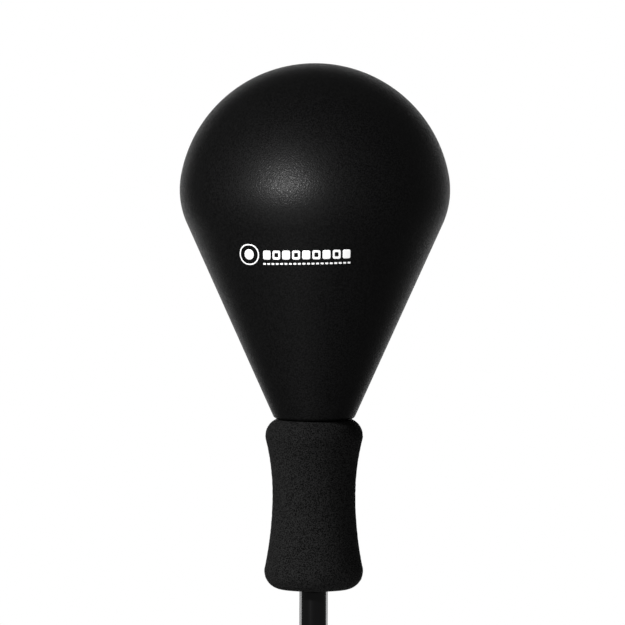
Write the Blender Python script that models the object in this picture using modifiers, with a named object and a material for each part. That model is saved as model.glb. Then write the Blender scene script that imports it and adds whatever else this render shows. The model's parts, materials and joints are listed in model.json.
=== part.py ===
"""A free-standing spring reflex bag: an inflated teardrop ball on a coil spring, a telescopic pole and
a weighted base.

Run it with blender --background --python part.py, or from Blender's text editor.
Metres, +Z up. The origin is on the floor, under the pole. The front of the bag faces -Y and the clamp
knob is at +X. Heights are world heights at rest, unless a comment says otherwise.
"""

import math

import bmesh
import bpy
from mathutils import Matrix, Vector

# ---- Driving dimensions -------------------------------------------------------------------------

TOTAL_H = 1.500
FIT = 0.0003  # gap left between pieces that touch on the real object
OVERCUT = 0.002  # how far a cutter runs past the wall it cuts
TAU = 2 * math.pi

# Ball: a sphere that rolls over a tighter shoulder into a straight cone, cut off flat at the neck
BALL_R = 0.120
BALL_H = 0.3137
SHOULDER_R = 0.0725
CONE_ANGLE = math.radians(24.25)  # between the cone's side and the axis
NECK_R = 0.0352  # where the cone would meet the flat bottom
LIP_R = 0.004
COVER_WALL = 0.003
COVER_FLOOR = 0.004
BLADDER_WALL = 0.0013
BLADDER_GAP = 0.0008
BALL_HOLE_R = 0.0130
VALVE_R = 0.0050
VALVE_LENGTH = 0.020
NEEDLE_R = 0.0010  # the valve's needle hole
VALVE_FLOOR = 0.002
BLADDER_ABOVE_PLUG = 0.004

# Foam sleeve: an hourglass whose waist is nearer its top
SLEEVE_H = 0.1504
SLEEVE_WAIST_R = 0.0366
SLEEVE_WAIST_DEPTH = 0.0666
SLEEVE_SHOULDER_R = 0.016
SLEEVE_SHOULDER_DEPTH = 0.0145  # from the top to the widest place
SLEEVE_UPPER_CURVE_R = 0.200
SLEEVE_LOWER_CURVE_R = 0.318
SLEEVE_BORE_R = 0.0258
SLEEVE_GRIP_H = 0.006  # the closed ring at the bottom that hugs the pole
SLEEVE_TOP_GAP = 0.0008

# Spring and the cups that hold its ends
WIRE_R = 0.003
COIL_R = 0.0175
COIL_TURNS = 14
CUP_R = 0.0250
CUP_BORE_R = 0.0208
CUP_DEPTH = 0.014
CUP_FLOOR = 0.006
CUP_EDGE_R = 0.0015
SHANK_R = 0.0109
SHANK_L = 0.038
GRUB_R = 0.0024

# Ball mounting
MOUNT_BOLT_R = 0.0058
MOUNT_HEX_R = 0.0104
MOUNT_HEAD_H = 0.0075
MOUNT_NUT_H = 0.0050
MOUNT_BOLT_ABOVE = 0.030  # above the ball's flat bottom
PLUG_R = 0.0270
PLUG_H = 0.036
INSERT_R = 0.0082
INSERT_L = 0.026

# Pole
UPPER_TUBE_R = 0.0127
UPPER_TUBE_WALL = 0.0015
UPPER_TUBE_TOP = 1.0615
UPPER_TUBE_L = 0.630
LOWER_TUBE_R = 0.0159
LOWER_TUBE_WALL = 0.0012
LOWER_TUBE_TOP = 0.790
BUSH_L = 0.034
GUIDE_R = 0.0143
GUIDE_FLANGE_H = 0.012
GUIDE_STEM_H = 0.020
BUSH_RIM_H = 0.002
CROSS_BOLT_R = 0.0024
CROSS_HEX_R = 0.0046
CROSS_HEAD_H = 0.0035
CROSS_NUT_H = 0.004
CROSS_BOLT_PAST_NUT = 0.0015
CROSS_BOLT_DROP = 0.0125  # below the upper tube's top

# Height clamp
CLAMP_R = 0.0225
CLAMP_H = 0.064
CLAMP_BELOW_TOP = 0.045  # the screw's axis below the lower tube's top
CLAMP_ABOVE_BUSH = 0.001  # between the bush's rim and the collar's lip
CLAMP_LIP_H = 0.004
CLAMP_LIP_R = 0.0192
CLAMP_SHOULDER_H = 0.012  # how far the shoulder falls from the lip to the full radius
BOSS_R = 0.0115
BOSS_ROOT = 0.0185  # where it starts in the collar's wall, from the pole's axis
BOSS_REACH = 0.0350
SCREW_R = 0.0038
CLAMP_NUT_R = 0.0075
CLAMP_NUT_H = 0.0065
CLAMP_NUT_X = 0.0230  # where the nut starts, from the pole's axis
RIVET_R = 0.0020
RIVET_HEAD_R = 0.0042
RIVET_HEAD_H = 0.0018
RIVET_RIM_H = 0.0006
RIVET_PAST_WALL = 0.0005
PAD_R = 0.0032
PAD_L = 0.0025
KNOB_R = 0.0220
KNOB_H = 0.0170
KNOB_LOBES = 6
KNOB_LOBE_DEPTH = 0.005
KNOB_EDGE_R = 0.0015
KNOB_STANDOFF = 0.003  # between the boss and the knob when the clamp is tight

# Base
FOOT_H = 0.006
FOOT_R = 0.020
FOOT_DRAFT = 0.002
FOOT_RING_R = 0.195
FOOT_COUNT = 6
TANK_R = 0.240
TANK_SHOULDER_Z = 0.106
TANK_STEP_R = 0.110
TANK_PLATEAU_Z = 0.150
TANK_NECK_R = 0.037
TANK_TOP_Z = 0.190
TANK_WALL = 0.0045
TANK_DRAFT = 0.004  # how much the side leans in from the floor to the shoulder
NECK_DRAFT = 0.002
STEP_RUN = 0.006  # how far out and how far down the plateau's chamfer goes
STEP_DROP = 0.008
PLATEAU_FALL = 0.003  # from the neck to the chamfer
WELL_R = 0.0163
RECESS_R = 0.042
RECESS_Z = 0.030
SAND_Z = 0.060
WASHER_R = 0.034
WASHER_H = 0.003
BASE_BOLT_R = 0.0050
BASE_BOLT_L = 0.028
BASE_HEX_R = 0.0095
BASE_HEAD_H = 0.0065
END_NUT_H = 0.012
COLLAR_H = 0.018
COLLAR_R = 0.036
COLLAR_TOP_R = 0.0219
COLLAR_SKIRT_H = 0.006
COLLAR_SCREW_R = 0.0025
COLLAR_SCREW_X = 0.0300  # where its head ends, from the pole's axis
FILLER_AT_R = 0.165
FILLER_ANGLE = math.radians(-50)
FILLER_BOSS_R = 0.030
FILLER_BOSS_LOW = 0.096  # inside the tank, where the boss starts
FILLER_TOP_Z = 0.142
FILLER_HOLE_R = 0.019
GASKET_R = 0.027
GASKET_H = 0.002
CAP_R = 0.028
CAP_RIM_H = 0.007
CAP_PLUG_L = 0.016
CAP_BAR_L = 0.044
CAP_BAR_W = 0.009
CAP_BAR_H = 0.012
CAP_BAR_EDGE_R = 0.0022
CAP_BAR_Z = 0.011  # the bar's middle, above the rim's underside

# ---- Heights that follow from them --------------------------------------------------------------

BALL_CENTRE_Z = TOTAL_H - BALL_R
BALL_BOTTOM_Z = TOTAL_H - BALL_H
CONE_DISTANCE = NECK_R * math.cos(CONE_ANGLE) + (BALL_H - BALL_R) * math.sin(CONE_ANGLE)
SHOULDER_TILT = math.acos((CONE_DISTANCE - SHOULDER_R) / (BALL_R - SHOULDER_R)) - CONE_ANGLE

UPPER_CUP_TOP = BALL_BOTTOM_Z - FIT
UPPER_CUP_MOUTH = UPPER_CUP_TOP - CUP_FLOOR - CUP_DEPTH
LOWER_CUP_SEAT = UPPER_TUBE_TOP + FIT
LOWER_CUP_MOUTH = LOWER_CUP_SEAT + CUP_FLOOR + CUP_DEPTH
SPRING_LOW = LOWER_CUP_SEAT + CUP_FLOOR + FIT
SPRING_HIGH = UPPER_CUP_TOP - CUP_FLOOR - FIT
SPRING_SPAN = UPPER_CUP_MOUTH - LOWER_CUP_MOUTH
LOWER_PIVOT_Z = LOWER_CUP_MOUTH + SPRING_SPAN / 4
UPPER_PIVOT_Z = UPPER_CUP_MOUTH - SPRING_SPAN / 4

SLEEVE_TOP_Z = BALL_BOTTOM_Z - SLEEVE_TOP_GAP
UPPER_TUBE_LOW = UPPER_TUBE_TOP - UPPER_TUBE_L
LOWER_TUBE_LOW = RECESS_Z
CLAMP_Z = LOWER_TUBE_TOP - CLAMP_BELOW_TOP
KNOB_LOW = BOSS_REACH + KNOB_STANDOFF
KNOB_BORE_L = KNOB_H * 0.7
FILLER_X = FILLER_AT_R * math.cos(FILLER_ANGLE)
FILLER_Y = FILLER_AT_R * math.sin(FILLER_ANGLE)

# ---- Materials: colour, roughness, metallic -----------------------------------------------------

FINISHES = {
    "ball_skin": ((0.012, 0.012, 0.013), 0.50, 0.0),
    "bladder_rubber": ((0.060, 0.030, 0.020), 0.60, 0.0),
    "sleeve_foam": ((0.016, 0.016, 0.016), 0.95, 0.0),
    "tube_gloss": ((0.010, 0.010, 0.011), 0.12, 0.0),
    "spring_steel": ((0.20, 0.20, 0.21), 0.35, 1.0),
    "zinc_steel": ((0.55, 0.56, 0.58), 0.35, 1.0),
    "cup_steel": ((0.030, 0.030, 0.032), 0.45, 0.0),
    "brass": ((0.60, 0.44, 0.18), 0.35, 1.0),
    "tank_plastic": ((0.018, 0.018, 0.019), 0.55, 0.0),
    "fitting_plastic": ((0.022, 0.022, 0.023), 0.40, 0.0),
    "foot_rubber": ((0.020, 0.020, 0.020), 0.85, 0.0),
    "sand": ((0.55, 0.45, 0.30), 0.95, 0.0),
}


# ---- Modelling helpers --------------------------------------------------------------------------


def clear_scene():
    for obj in list(bpy.data.objects):
        bpy.data.objects.remove(obj)


def new_collection(name):
    made = bpy.data.collections.new(name)
    bpy.context.scene.collection.children.link(made)
    return made


def finish_material(name):
    """The shared Principled material of a finish, made the first time it is asked for."""
    made = bpy.data.materials.get(name)
    if made:
        return made
    made = bpy.data.materials.new(name)
    made.use_nodes = True
    colour, roughness, metallic = FINISHES[name]
    shader = made.node_tree.nodes["Principled BSDF"]
    shader.inputs["Base Color"].default_value = (*colour, 1.0)
    shader.inputs["Roughness"].default_value = roughness
    shader.inputs["Metallic"].default_value = metallic
    return made


def arc(centre, radius, start, end, count):
    """count + 1 points of an arc in the (r, z) plane; angles from +r towards +z, in radians."""
    angles = [start + (end - start) * i / count for i in range(count + 1)]
    return [(centre[0] + radius * math.cos(a), centre[1] + radius * math.sin(a)) for a in angles]


def rounded(corners, count=3):
    """A polyline through (r, z, fillet radius) corners, with each fillet drawn as an arc."""
    points = []
    for i, (r, z, fillet) in enumerate(corners):
        here = Vector((r, z))
        if fillet == 0:
            points.append((r, z))
            continue
        before = (Vector(corners[i - 1][:2]) - here).normalized()
        after = (Vector(corners[(i + 1) % len(corners)][:2]) - here).normalized()
        half = before.angle(after) / 2
        centre = here + (before + after).normalized() * (fillet / math.sin(half))
        start = here + before * (fillet / math.tan(half)) - centre
        end = here + after * (fillet / math.tan(half)) - centre
        first = math.atan2(start.y, start.x)
        sweep = math.remainder(math.atan2(end.y, end.x) - first, TAU)
        points += arc(centre, fillet, first, first + sweep, count)
    return points


def place(obj, finish, parent, at, rotation=(0, 0, 0)):
    """Puts a part in the part collection, at a world place, riding on its assembly's empty."""
    part_collection.objects.link(obj)
    obj.data.materials.append(finish_material(finish))
    obj.parent = parent
    obj.location = Vector(at) - parent.location
    obj.rotation_euler = rotation
    return obj


def place_cutter(obj, at, rotation=(0, 0, 0)):
    """A helper solid that a Boolean uses. It stays out of renders."""
    cutter_collection.objects.link(obj)
    obj.hide_render = True
    obj.display_type = "WIRE"
    obj.location = at
    obj.rotation_euler = rotation
    return obj


def lathe(name, points, steps):
    """A turned solid from an (r, z) outline. Ends on the axis close there, and an outline that stays off
    the axis is joined into a loop."""
    mesh = bpy.data.meshes.new(name)
    edges = [(i, i + 1) for i in range(len(points) - 1)]
    if points[0][0] > 0:
        edges.append((len(points) - 1, 0))
    mesh.from_pydata([(r, 0, z) for r, z in points], edges, [])
    obj = bpy.data.objects.new(name, mesh)
    screw = obj.modifiers.new("turn", "SCREW")
    screw.steps = steps
    screw.render_steps = steps
    screw.use_merge_vertices = True
    screw.merge_threshold = 0.00001
    screw.use_smooth_shade = True
    return obj


def rod(name, radius, low, high, sides):
    """A cylinder, or a prism if sides is small, along its own Z from low to high."""
    shape = bmesh.new()
    depth = high - low
    bmesh.ops.create_cone(
        shape, cap_ends=True, segments=sides, radius1=radius, radius2=radius, depth=depth
    )
    bmesh.ops.translate(shape, verts=shape.verts, vec=(0, 0, low + depth / 2))
    mesh = bpy.data.meshes.new(name)
    shape.to_mesh(mesh)
    shape.free()
    return bpy.data.objects.new(name, mesh)


def ring(name, inner, outer, low, high, steps):
    """A plain tube from low to high."""
    return lathe(name, [(inner, high), (outer, high), (outer, low), (inner, low)], steps)


def combine(obj, other, operation):
    boolean = obj.modifiers.new(f"{operation.lower()} {other.name}", "BOOLEAN")
    boolean.operation = operation
    boolean.object = other
    return obj


def bevel(obj, width, segments=2):
    made = obj.modifiers.new("soft edges", "BEVEL")
    made.width = width
    made.segments = segments
    made.limit_method = "ANGLE"
    made.angle_limit = math.radians(40)
    return obj


def empty(name, at, parent=None):
    """An assembly's frame. A moving assembly has its empty on its joint's axis."""
    made = bpy.data.objects.new(name, None)
    part_collection.objects.link(made)
    made.empty_display_size = 0.03
    if parent:
        made.parent = parent
        made.matrix_parent_inverse.identity()
    made.location = at
    return made


ALONG_X = (0, math.radians(90), 0)
BACK_ALONG_X = (0, math.radians(-90), 0)


def hex_bolt(name, shank_r, shank_l, hex_r, head_h, at, rotation=(0, 0, 0)):
    """A bolt whose head stands on its origin, with the shank along its own +Z and the head below."""
    bolt = rod(name, shank_r, -head_h / 2, shank_l, 16)
    head = place_cutter(rod(f"{name}_head", hex_r, -head_h, 0, 6), at, rotation)
    return combine(bolt, head, "UNION")


def hex_nut(name, hole_r, hex_r, height, at, rotation=(0, 0, 0)):
    """A nut standing on its origin, along its own +Z."""
    nut = rod(name, hex_r, 0, height, 6)
    hole = place_cutter(rod(f"{name}_hole", hole_r, -height, 2 * height, 16), at, rotation)
    return combine(nut, hole, "DIFFERENCE")


# ---- Ball ---------------------------------------------------------------------------------------


def ball_outline(inset, hole_r, detail):
    """The ball's side from the crown to the cone's end, this far inside its outer skin, relative to the
    sphere's centre. It starts at a hole of radius hole_r in the crown."""
    sphere_r = BALL_R - inset
    reach = BALL_R - SHOULDER_R
    shoulder = (reach * math.cos(SHOULDER_TILT), reach * math.sin(SHOULDER_TILT))
    crown = math.acos(hole_r / sphere_r)
    points = arc((0, 0), sphere_r, crown, SHOULDER_TILT, 2 * detail)
    points += arc(shoulder, SHOULDER_R - inset, SHOULDER_TILT, -CONE_ANGLE, detail)[1:]
    return points


def cone_radius(inset, z):
    """The cone's radius at height z from the sphere's centre, this far inside its outer skin."""
    return (CONE_DISTANCE - inset + z * math.sin(CONE_ANGLE)) / math.cos(CONE_ANGLE)


def add_ball(frame):
    bottom = BALL_R - BALL_H
    hole_r = VALVE_R + FIT
    floor = bottom + COVER_FLOOR
    low = [
        (cone_radius(0, bottom + 0.01), bottom + 0.01, 0),
        (NECK_R, bottom, LIP_R),
        (BALL_HOLE_R, bottom, 0),
        (BALL_HOLE_R, floor, 0),
        (cone_radius(COVER_WALL, floor), floor, 0),
    ]
    inner = ball_outline(COVER_WALL, hole_r, 4)
    skin = ball_outline(0, hole_r, 5) + rounded(low)[1:] + inner[::-1]
    place(lathe("ball_cover", skin, 36), "ball_skin", frame, (0, 0, BALL_CENTRE_Z))

    outer = COVER_WALL + BLADDER_GAP
    seat = floor + PLUG_H + BLADDER_ABOVE_PLUG
    inside = ball_outline(outer + BLADDER_WALL, hole_r, 3)
    inside += [(cone_radius(outer + BLADDER_WALL, seat + BLADDER_WALL), seat + BLADDER_WALL)]
    inside += [(0, seat + BLADDER_WALL)]
    outside = ball_outline(outer, hole_r, 3) + [(cone_radius(outer, seat), seat), (0, seat)]
    bladder = lathe("ball_bladder", inside[::-1] + outside, 32)
    place(bladder, "bladder_rubber", frame, (0, 0, BALL_CENTRE_Z))

    valve = [
        (0, -NEEDLE_R),
        (NEEDLE_R, -NEEDLE_R / 2),
        (NEEDLE_R, VALVE_LENGTH),
        (VALVE_R, VALVE_LENGTH),
        (VALVE_R, -VALVE_FLOOR),
        (0, -VALVE_FLOOR),
    ]
    top = TOTAL_H - VALVE_LENGTH - FIT
    place(lathe("inflation_valve", valve, 16), "bladder_rubber", frame, (0, 0, top))


def add_ball_mounting(frame):
    """What fixes the ball on the spring: the plug in its neck, its bolt and the upper cup."""
    floor_z = BALL_BOTTOM_Z + COVER_FLOOR + FIT
    nut_room = MOUNT_NUT_H + 0.001
    plug = [
        (INSERT_R + FIT, PLUG_H, 0),
        (PLUG_R, PLUG_H, 0.003),
        (PLUG_R, 0, 0.001),
        (BALL_HOLE_R, 0, 0),
        (BALL_HOLE_R, nut_room - COVER_FLOOR, 0),
        (INSERT_R + FIT, nut_room - COVER_FLOOR, 0),
    ]
    place(lathe("neck_plug", rounded(plug), 28), "fitting_plastic", frame, (0, 0, floor_z))

    insert_low = BALL_BOTTOM_Z + nut_room + 2 * FIT
    insert = ring("plug_insert", MOUNT_BOLT_R + FIT, INSERT_R, 0, INSERT_L, 20)
    place(insert, "brass", frame, (0, 0, insert_low))

    under_head = UPPER_CUP_TOP - CUP_FLOOR - FIT
    shank_l = BALL_BOTTOM_Z + MOUNT_BOLT_ABOVE - under_head
    at = (0, 0, under_head)
    bolt = hex_bolt("mount_bolt", MOUNT_BOLT_R, shank_l, MOUNT_HEX_R, MOUNT_HEAD_H, at)
    place(bolt, "zinc_steel", frame, at)

    at = (0, 0, UPPER_CUP_TOP + FIT)
    nut = hex_nut("mount_nut", MOUNT_BOLT_R + FIT, MOUNT_HEX_R, MOUNT_NUT_H, at)
    place(nut, "zinc_steel", frame, at)

    cup = [
        (MOUNT_BOLT_R + FIT, 0, 0),
        (CUP_R, 0, CUP_EDGE_R),
        (CUP_R, -CUP_FLOOR - CUP_DEPTH, 0),
        (CUP_BORE_R, -CUP_FLOOR - CUP_DEPTH, 0),
        (CUP_BORE_R, -CUP_FLOOR, 0),
        (MOUNT_BOLT_R + FIT, -CUP_FLOOR, 0),
    ]
    upper = lathe("upper_spring_cup", rounded(cup), 28)
    place(upper, "cup_steel", frame, (0, 0, UPPER_CUP_TOP))
    add_grub_screws(upper, "upper_grub_screw", UPPER_CUP_MOUTH + CUP_DEPTH / 2, frame)


def add_grub_screws(cup, name, z, frame):
    """Two screws, on opposite sides of a cup, that press on the spring's end coil."""
    for number, turn in ((1, ALONG_X), (2, BACK_ALONG_X)):
        at = (0, 0, z)
        low = CUP_BORE_R - OVERCUT
        hole = rod(f"{name}_{number}_hole", GRUB_R + FIT / 2, low, CUP_R + OVERCUT, 12)
        combine(cup, place_cutter(hole, at, turn), "DIFFERENCE")
        screw = rod(f"{name}_{number}", GRUB_R, CUP_BORE_R + FIT, CUP_R - FIT, 12)
        place(screw, "zinc_steel", frame, at, turn)


# ---- Spring and sleeve --------------------------------------------------------------------------


def add_spring(frame):
    per_turn = 10
    rise = SPRING_HIGH - SPRING_LOW - 2 * WIRE_R
    count = COIL_TURNS * per_turn
    curve = bpy.data.curves.new("coil_spring", "CURVE")
    curve.dimensions = "3D"
    curve.bevel_depth = WIRE_R
    curve.bevel_resolution = 2
    curve.use_fill_caps = True
    coil = curve.splines.new("POLY")
    coil.points.add(count)
    for i, point in enumerate(coil.points):
        angle = TAU * i / per_turn
        z = WIRE_R + rise * i / count
        point.co = (COIL_R * math.cos(angle), COIL_R * math.sin(angle), z, 1)
    spring = bpy.data.objects.new("coil_spring", curve)
    place(spring, "spring_steel", frame, (0, 0, SPRING_LOW))


def sleeve_outline():
    """The hourglass side from the top edge to the bottom edge: a convex shoulder, two hollow curves that
    meet at the waist, and a convex lower end. Each curve is tangent to the next. Heights are from the
    sleeve's top."""
    upper = (SLEEVE_WAIST_R + SLEEVE_UPPER_CURVE_R, -SLEEVE_WAIST_DEPTH)
    lower = (SLEEVE_WAIST_R + SLEEVE_LOWER_CURVE_R, -SLEEVE_WAIST_DEPTH)
    top_lean = math.asin(
        (SLEEVE_WAIST_DEPTH - SLEEVE_SHOULDER_DEPTH) / (SLEEVE_UPPER_CURVE_R + SLEEVE_SHOULDER_R)
    )
    end_depth = SLEEVE_H - SLEEVE_SHOULDER_R
    end_lean = math.asin(
        (end_depth - SLEEVE_WAIST_DEPTH) / (SLEEVE_LOWER_CURVE_R + SLEEVE_SHOULDER_R)
    )
    shoulder_x = upper[0] - (SLEEVE_UPPER_CURVE_R + SLEEVE_SHOULDER_R) * math.cos(top_lean)
    end_x = lower[0] - (SLEEVE_LOWER_CURVE_R + SLEEVE_SHOULDER_R) * math.cos(end_lean)
    top_edge = math.asin(SLEEVE_SHOULDER_DEPTH / SLEEVE_SHOULDER_R)
    shoulder = (shoulder_x, -SLEEVE_SHOULDER_DEPTH)
    points = arc(shoulder, SLEEVE_SHOULDER_R, top_edge, -top_lean, 4)
    points += arc(upper, SLEEVE_UPPER_CURVE_R, math.pi - top_lean, math.pi, 3)[1:]
    points += arc(lower, SLEEVE_LOWER_CURVE_R, math.pi, math.pi + end_lean, 3)[1:]
    points += arc((end_x, -end_depth), SLEEVE_SHOULDER_R, end_lean, -math.pi / 2, 4)[1:]
    return points


def add_sleeve(frame):
    grip_r = UPPER_TUBE_R + FIT
    bore = [
        (grip_r, -SLEEVE_H),
        (grip_r, SLEEVE_GRIP_H - SLEEVE_H),
        (SLEEVE_BORE_R, 2 * SLEEVE_GRIP_H - SLEEVE_H),
        (SLEEVE_BORE_R, 0),
    ]
    sleeve = lathe("foam_sleeve", sleeve_outline() + bore, 32)
    place(sleeve, "sleeve_foam", frame, (0, 0, SLEEVE_TOP_Z))


# ---- Pole ---------------------------------------------------------------------------------------


def add_mast(frame):
    """The upper tube, the cup bolted in its top and the guide plug in its foot."""
    bore_r = UPPER_TUBE_R - UPPER_TUBE_WALL
    tube = ring("upper_tube", bore_r, UPPER_TUBE_R, -UPPER_TUBE_L, 0, 24)
    place(tube, "tube_gloss", frame, (0, 0, UPPER_TUBE_TOP))

    cup = [
        (0, CUP_FLOOR, 0),
        (CUP_BORE_R, CUP_FLOOR, 0),
        (CUP_BORE_R, CUP_FLOOR + CUP_DEPTH, 0),
        (CUP_R, CUP_FLOOR + CUP_DEPTH, 0),
        (CUP_R, 0, CUP_EDGE_R),
        (SHANK_R, 0, 0),
        (SHANK_R, -SHANK_L, 0.001),
        (0, -SHANK_L, 0),
    ]
    lower = lathe("lower_spring_cup", rounded(cup), 24)
    place(lower, "cup_steel", frame, (0, 0, LOWER_CUP_SEAT))
    add_grub_screws(lower, "lower_grub_screw", LOWER_CUP_MOUTH - CUP_DEPTH / 2, frame)

    bolt_z = UPPER_TUBE_TOP - CROSS_BOLT_DROP
    reach = UPPER_TUBE_R + OVERCUT
    hole = rod("cross_bolt_hole", CROSS_BOLT_R + FIT, -reach, reach, 12)
    place_cutter(hole, (0, 0, bolt_z), ALONG_X)
    combine(tube, hole, "DIFFERENCE")
    combine(lower, hole, "DIFFERENCE")
    face = UPPER_TUBE_R + FIT
    at = (-face, 0, bolt_z)
    bolt_l = 2 * face + CROSS_NUT_H + CROSS_BOLT_PAST_NUT
    bolt = hex_bolt("cross_bolt", CROSS_BOLT_R, bolt_l, CROSS_HEX_R, CROSS_HEAD_H, at, ALONG_X)
    place(bolt, "zinc_steel", frame, at, ALONG_X)
    at = (face, 0, bolt_z)
    nut = hex_nut("cross_nut", CROSS_BOLT_R + FIT / 2, CROSS_HEX_R, CROSS_NUT_H, at, ALONG_X)
    place(nut, "zinc_steel", frame, at, ALONG_X)


def add_guide(frame):
    plug_r = UPPER_TUBE_R - UPPER_TUBE_WALL - FIT
    outline = [
        (0, GUIDE_STEM_H, 0),
        (plug_r, GUIDE_STEM_H, 0.001),
        (plug_r, 0, 0),
        (GUIDE_R, 0, 0.001),
        (GUIDE_R, -GUIDE_FLANGE_H, 0.001),
        (0, -GUIDE_FLANGE_H, 0),
    ]
    guide = lathe("tube_guide", rounded(outline, 2), 24)
    place(guide, "fitting_plastic", frame, (0, 0, UPPER_TUBE_LOW - FIT))


def add_lower_tube(frame):
    bore_r = LOWER_TUBE_R - LOWER_TUBE_WALL
    tube = ring("lower_tube", bore_r, LOWER_TUBE_R, LOWER_TUBE_LOW, LOWER_TUBE_TOP, 24)
    place(tube, "tube_gloss", frame, (0, 0, 0))
    reach = LOWER_TUBE_R + OVERCUT
    hole = rod("clamp_hole_in_tube", SCREW_R + FIT, 0, reach, 16)
    combine(tube, place_cutter(hole, (0, 0, CLAMP_Z), ALONG_X), "DIFFERENCE")
    rivet_hole = rod("rivet_hole_in_tube", RIVET_R + FIT, bore_r - OVERCUT, reach, 12)
    combine(tube, place_cutter(rivet_hole, (0, 0, CLAMP_Z), BACK_ALONG_X), "DIFFERENCE")

    bush = [
        (UPPER_TUBE_R + FIT, BUSH_RIM_H, 0),
        (LOWER_TUBE_R - FIT, BUSH_RIM_H, 0.0008),
        (LOWER_TUBE_R - FIT, 0, 0),
        (bore_r - FIT, 0, 0),
        (bore_r - FIT, -BUSH_L, 0),
        (UPPER_TUBE_R + FIT, -BUSH_L, 0),
    ]
    fitted = lathe("top_bush", rounded(bush, 2), 24)
    place(fitted, "fitting_plastic", frame, (0, 0, LOWER_TUBE_TOP + FIT))


# ---- Height clamp -------------------------------------------------------------------------------


def add_clamp(frame):
    """The moulded collar on the lower tube, with its captive nut and the rivet that holds it."""
    lip_bore_r = UPPER_TUBE_R + 2 * FIT
    bore_r = LOWER_TUBE_R + FIT
    under_lip = CLAMP_BELOW_TOP + BUSH_RIM_H + CLAMP_ABOVE_BUSH
    top = under_lip + CLAMP_LIP_H
    outline = [
        (lip_bore_r, top, 0),
        (CLAMP_LIP_R, top, 0.0015),
        (CLAMP_R, top - CLAMP_SHOULDER_H, 0.004),
        (CLAMP_R, top - CLAMP_H, 0.003),
        (bore_r, top - CLAMP_H, 0),
        (bore_r, under_lip, 0),
        (lip_bore_r, under_lip, 0),
    ]
    collar = lathe("clamp_collar", rounded(outline), 28)
    place(collar, "fitting_plastic", frame, (0, 0, CLAMP_Z))

    at = (0, 0, CLAMP_Z)
    boss = place_cutter(rod("clamp_boss", BOSS_R, BOSS_ROOT, BOSS_REACH, 24), at, ALONG_X)
    combine(collar, boss, "UNION")
    low = bore_r - OVERCUT
    hole = rod("clamp_hole", SCREW_R + FIT, low, BOSS_REACH + OVERCUT, 16)
    combine(collar, place_cutter(hole, at, ALONG_X), "DIFFERENCE")
    nut_end = CLAMP_NUT_X + CLAMP_NUT_H
    pocket = rod("clamp_nut_pocket", CLAMP_NUT_R + FIT, CLAMP_NUT_X - FIT, nut_end + FIT, 6)
    combine(collar, place_cutter(pocket, at, ALONG_X), "DIFFERENCE")
    rivet_hole = rod("rivet_hole_in_collar", RIVET_R + FIT, low, CLAMP_R + OVERCUT, 12)
    combine(collar, place_cutter(rivet_hole, at, BACK_ALONG_X), "DIFFERENCE")

    at = (CLAMP_NUT_X, 0, CLAMP_Z)
    nut = hex_nut("clamp_nut", SCREW_R + FIT / 2, CLAMP_NUT_R, CLAMP_NUT_H, at, ALONG_X)
    place(nut, "zinc_steel", frame, at, ALONG_X)

    rivet_end = LOWER_TUBE_R - LOWER_TUBE_WALL - RIVET_PAST_WALL
    rivet = [
        (0, CLAMP_R + RIVET_HEAD_H),
        (RIVET_HEAD_R, CLAMP_R + RIVET_RIM_H),
        (RIVET_HEAD_R, CLAMP_R + FIT),
        (RIVET_R, CLAMP_R + FIT),
        (RIVET_R, rivet_end),
        (0, rivet_end),
    ]
    at = (0, 0, CLAMP_Z)
    place(lathe("collar_rivet", rivet, 12), "zinc_steel", frame, at, BACK_ALONG_X)


def add_clamp_screw(pad_frame, knob_frame):
    """The knob's screw, and the soft pad at its tip that bears on the upper tube without turning."""
    at = (0, 0, CLAMP_Z)
    pad_end = UPPER_TUBE_R + 2 * FIT + PAD_L
    pad = rod("clamp_pad", PAD_R, UPPER_TUBE_R + 2 * FIT, pad_end, 12)
    place(pad, "brass", pad_frame, at, ALONG_X)
    screw = rod("clamp_screw", SCREW_R, pad_end + FIT, KNOB_LOW + KNOB_BORE_L, 16)
    place(screw, "zinc_steel", knob_frame, at, ALONG_X)


def knob_outline(lobes, radius, depth, per_lobe):
    """Points round a lobed knob: the radius swings by depth once per lobe."""
    count = lobes * per_lobe
    points = []
    for i in range(count):
        angle = TAU * i / count
        r = radius - depth * (1 - math.cos(lobes * angle)) / 2
        points.append((r * math.cos(angle), r * math.sin(angle)))
    return points


def add_knob(frame):
    curve = bpy.data.curves.new("clamp_knob", "CURVE")
    curve.dimensions = "2D"
    curve.fill_mode = "BOTH"
    curve.extrude = KNOB_H / 2
    outline = curve.splines.new("POLY")
    points = knob_outline(KNOB_LOBES, KNOB_R, KNOB_LOBE_DEPTH, 8)
    outline.points.add(len(points) - 1)
    outline.use_cyclic_u = True
    for point, (x, y) in zip(outline.points, points):
        point.co = (x, y, 0, 1)
    blank = bpy.data.objects.new("knob_blank", curve)
    cutter_collection.objects.link(blank)
    bpy.context.view_layer.update()
    evaluated = blank.evaluated_get(bpy.context.evaluated_depsgraph_get())
    mesh = bpy.data.meshes.new_from_object(evaluated)
    bpy.data.objects.remove(blank)
    weld_caps(mesh)
    knob = bpy.data.objects.new("clamp_knob", mesh)
    place(knob, "fitting_plastic", frame, (KNOB_LOW + KNOB_H / 2, 0, CLAMP_Z), ALONG_X)
    bevel(knob, KNOB_EDGE_R)
    bore_end = KNOB_LOW + KNOB_BORE_L + FIT
    bore = rod("knob_bore", SCREW_R + FIT, KNOB_LOW - OVERCUT, bore_end, 16)
    combine(knob, place_cutter(bore, (0, 0, CLAMP_Z), ALONG_X), "DIFFERENCE")


def weld_caps(mesh):
    shape = bmesh.new()
    shape.from_mesh(mesh)
    bmesh.ops.remove_doubles(shape, verts=shape.verts, dist=0.00001)
    shape.to_mesh(mesh)
    shape.free()


# ---- Base ---------------------------------------------------------------------------------------


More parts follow.
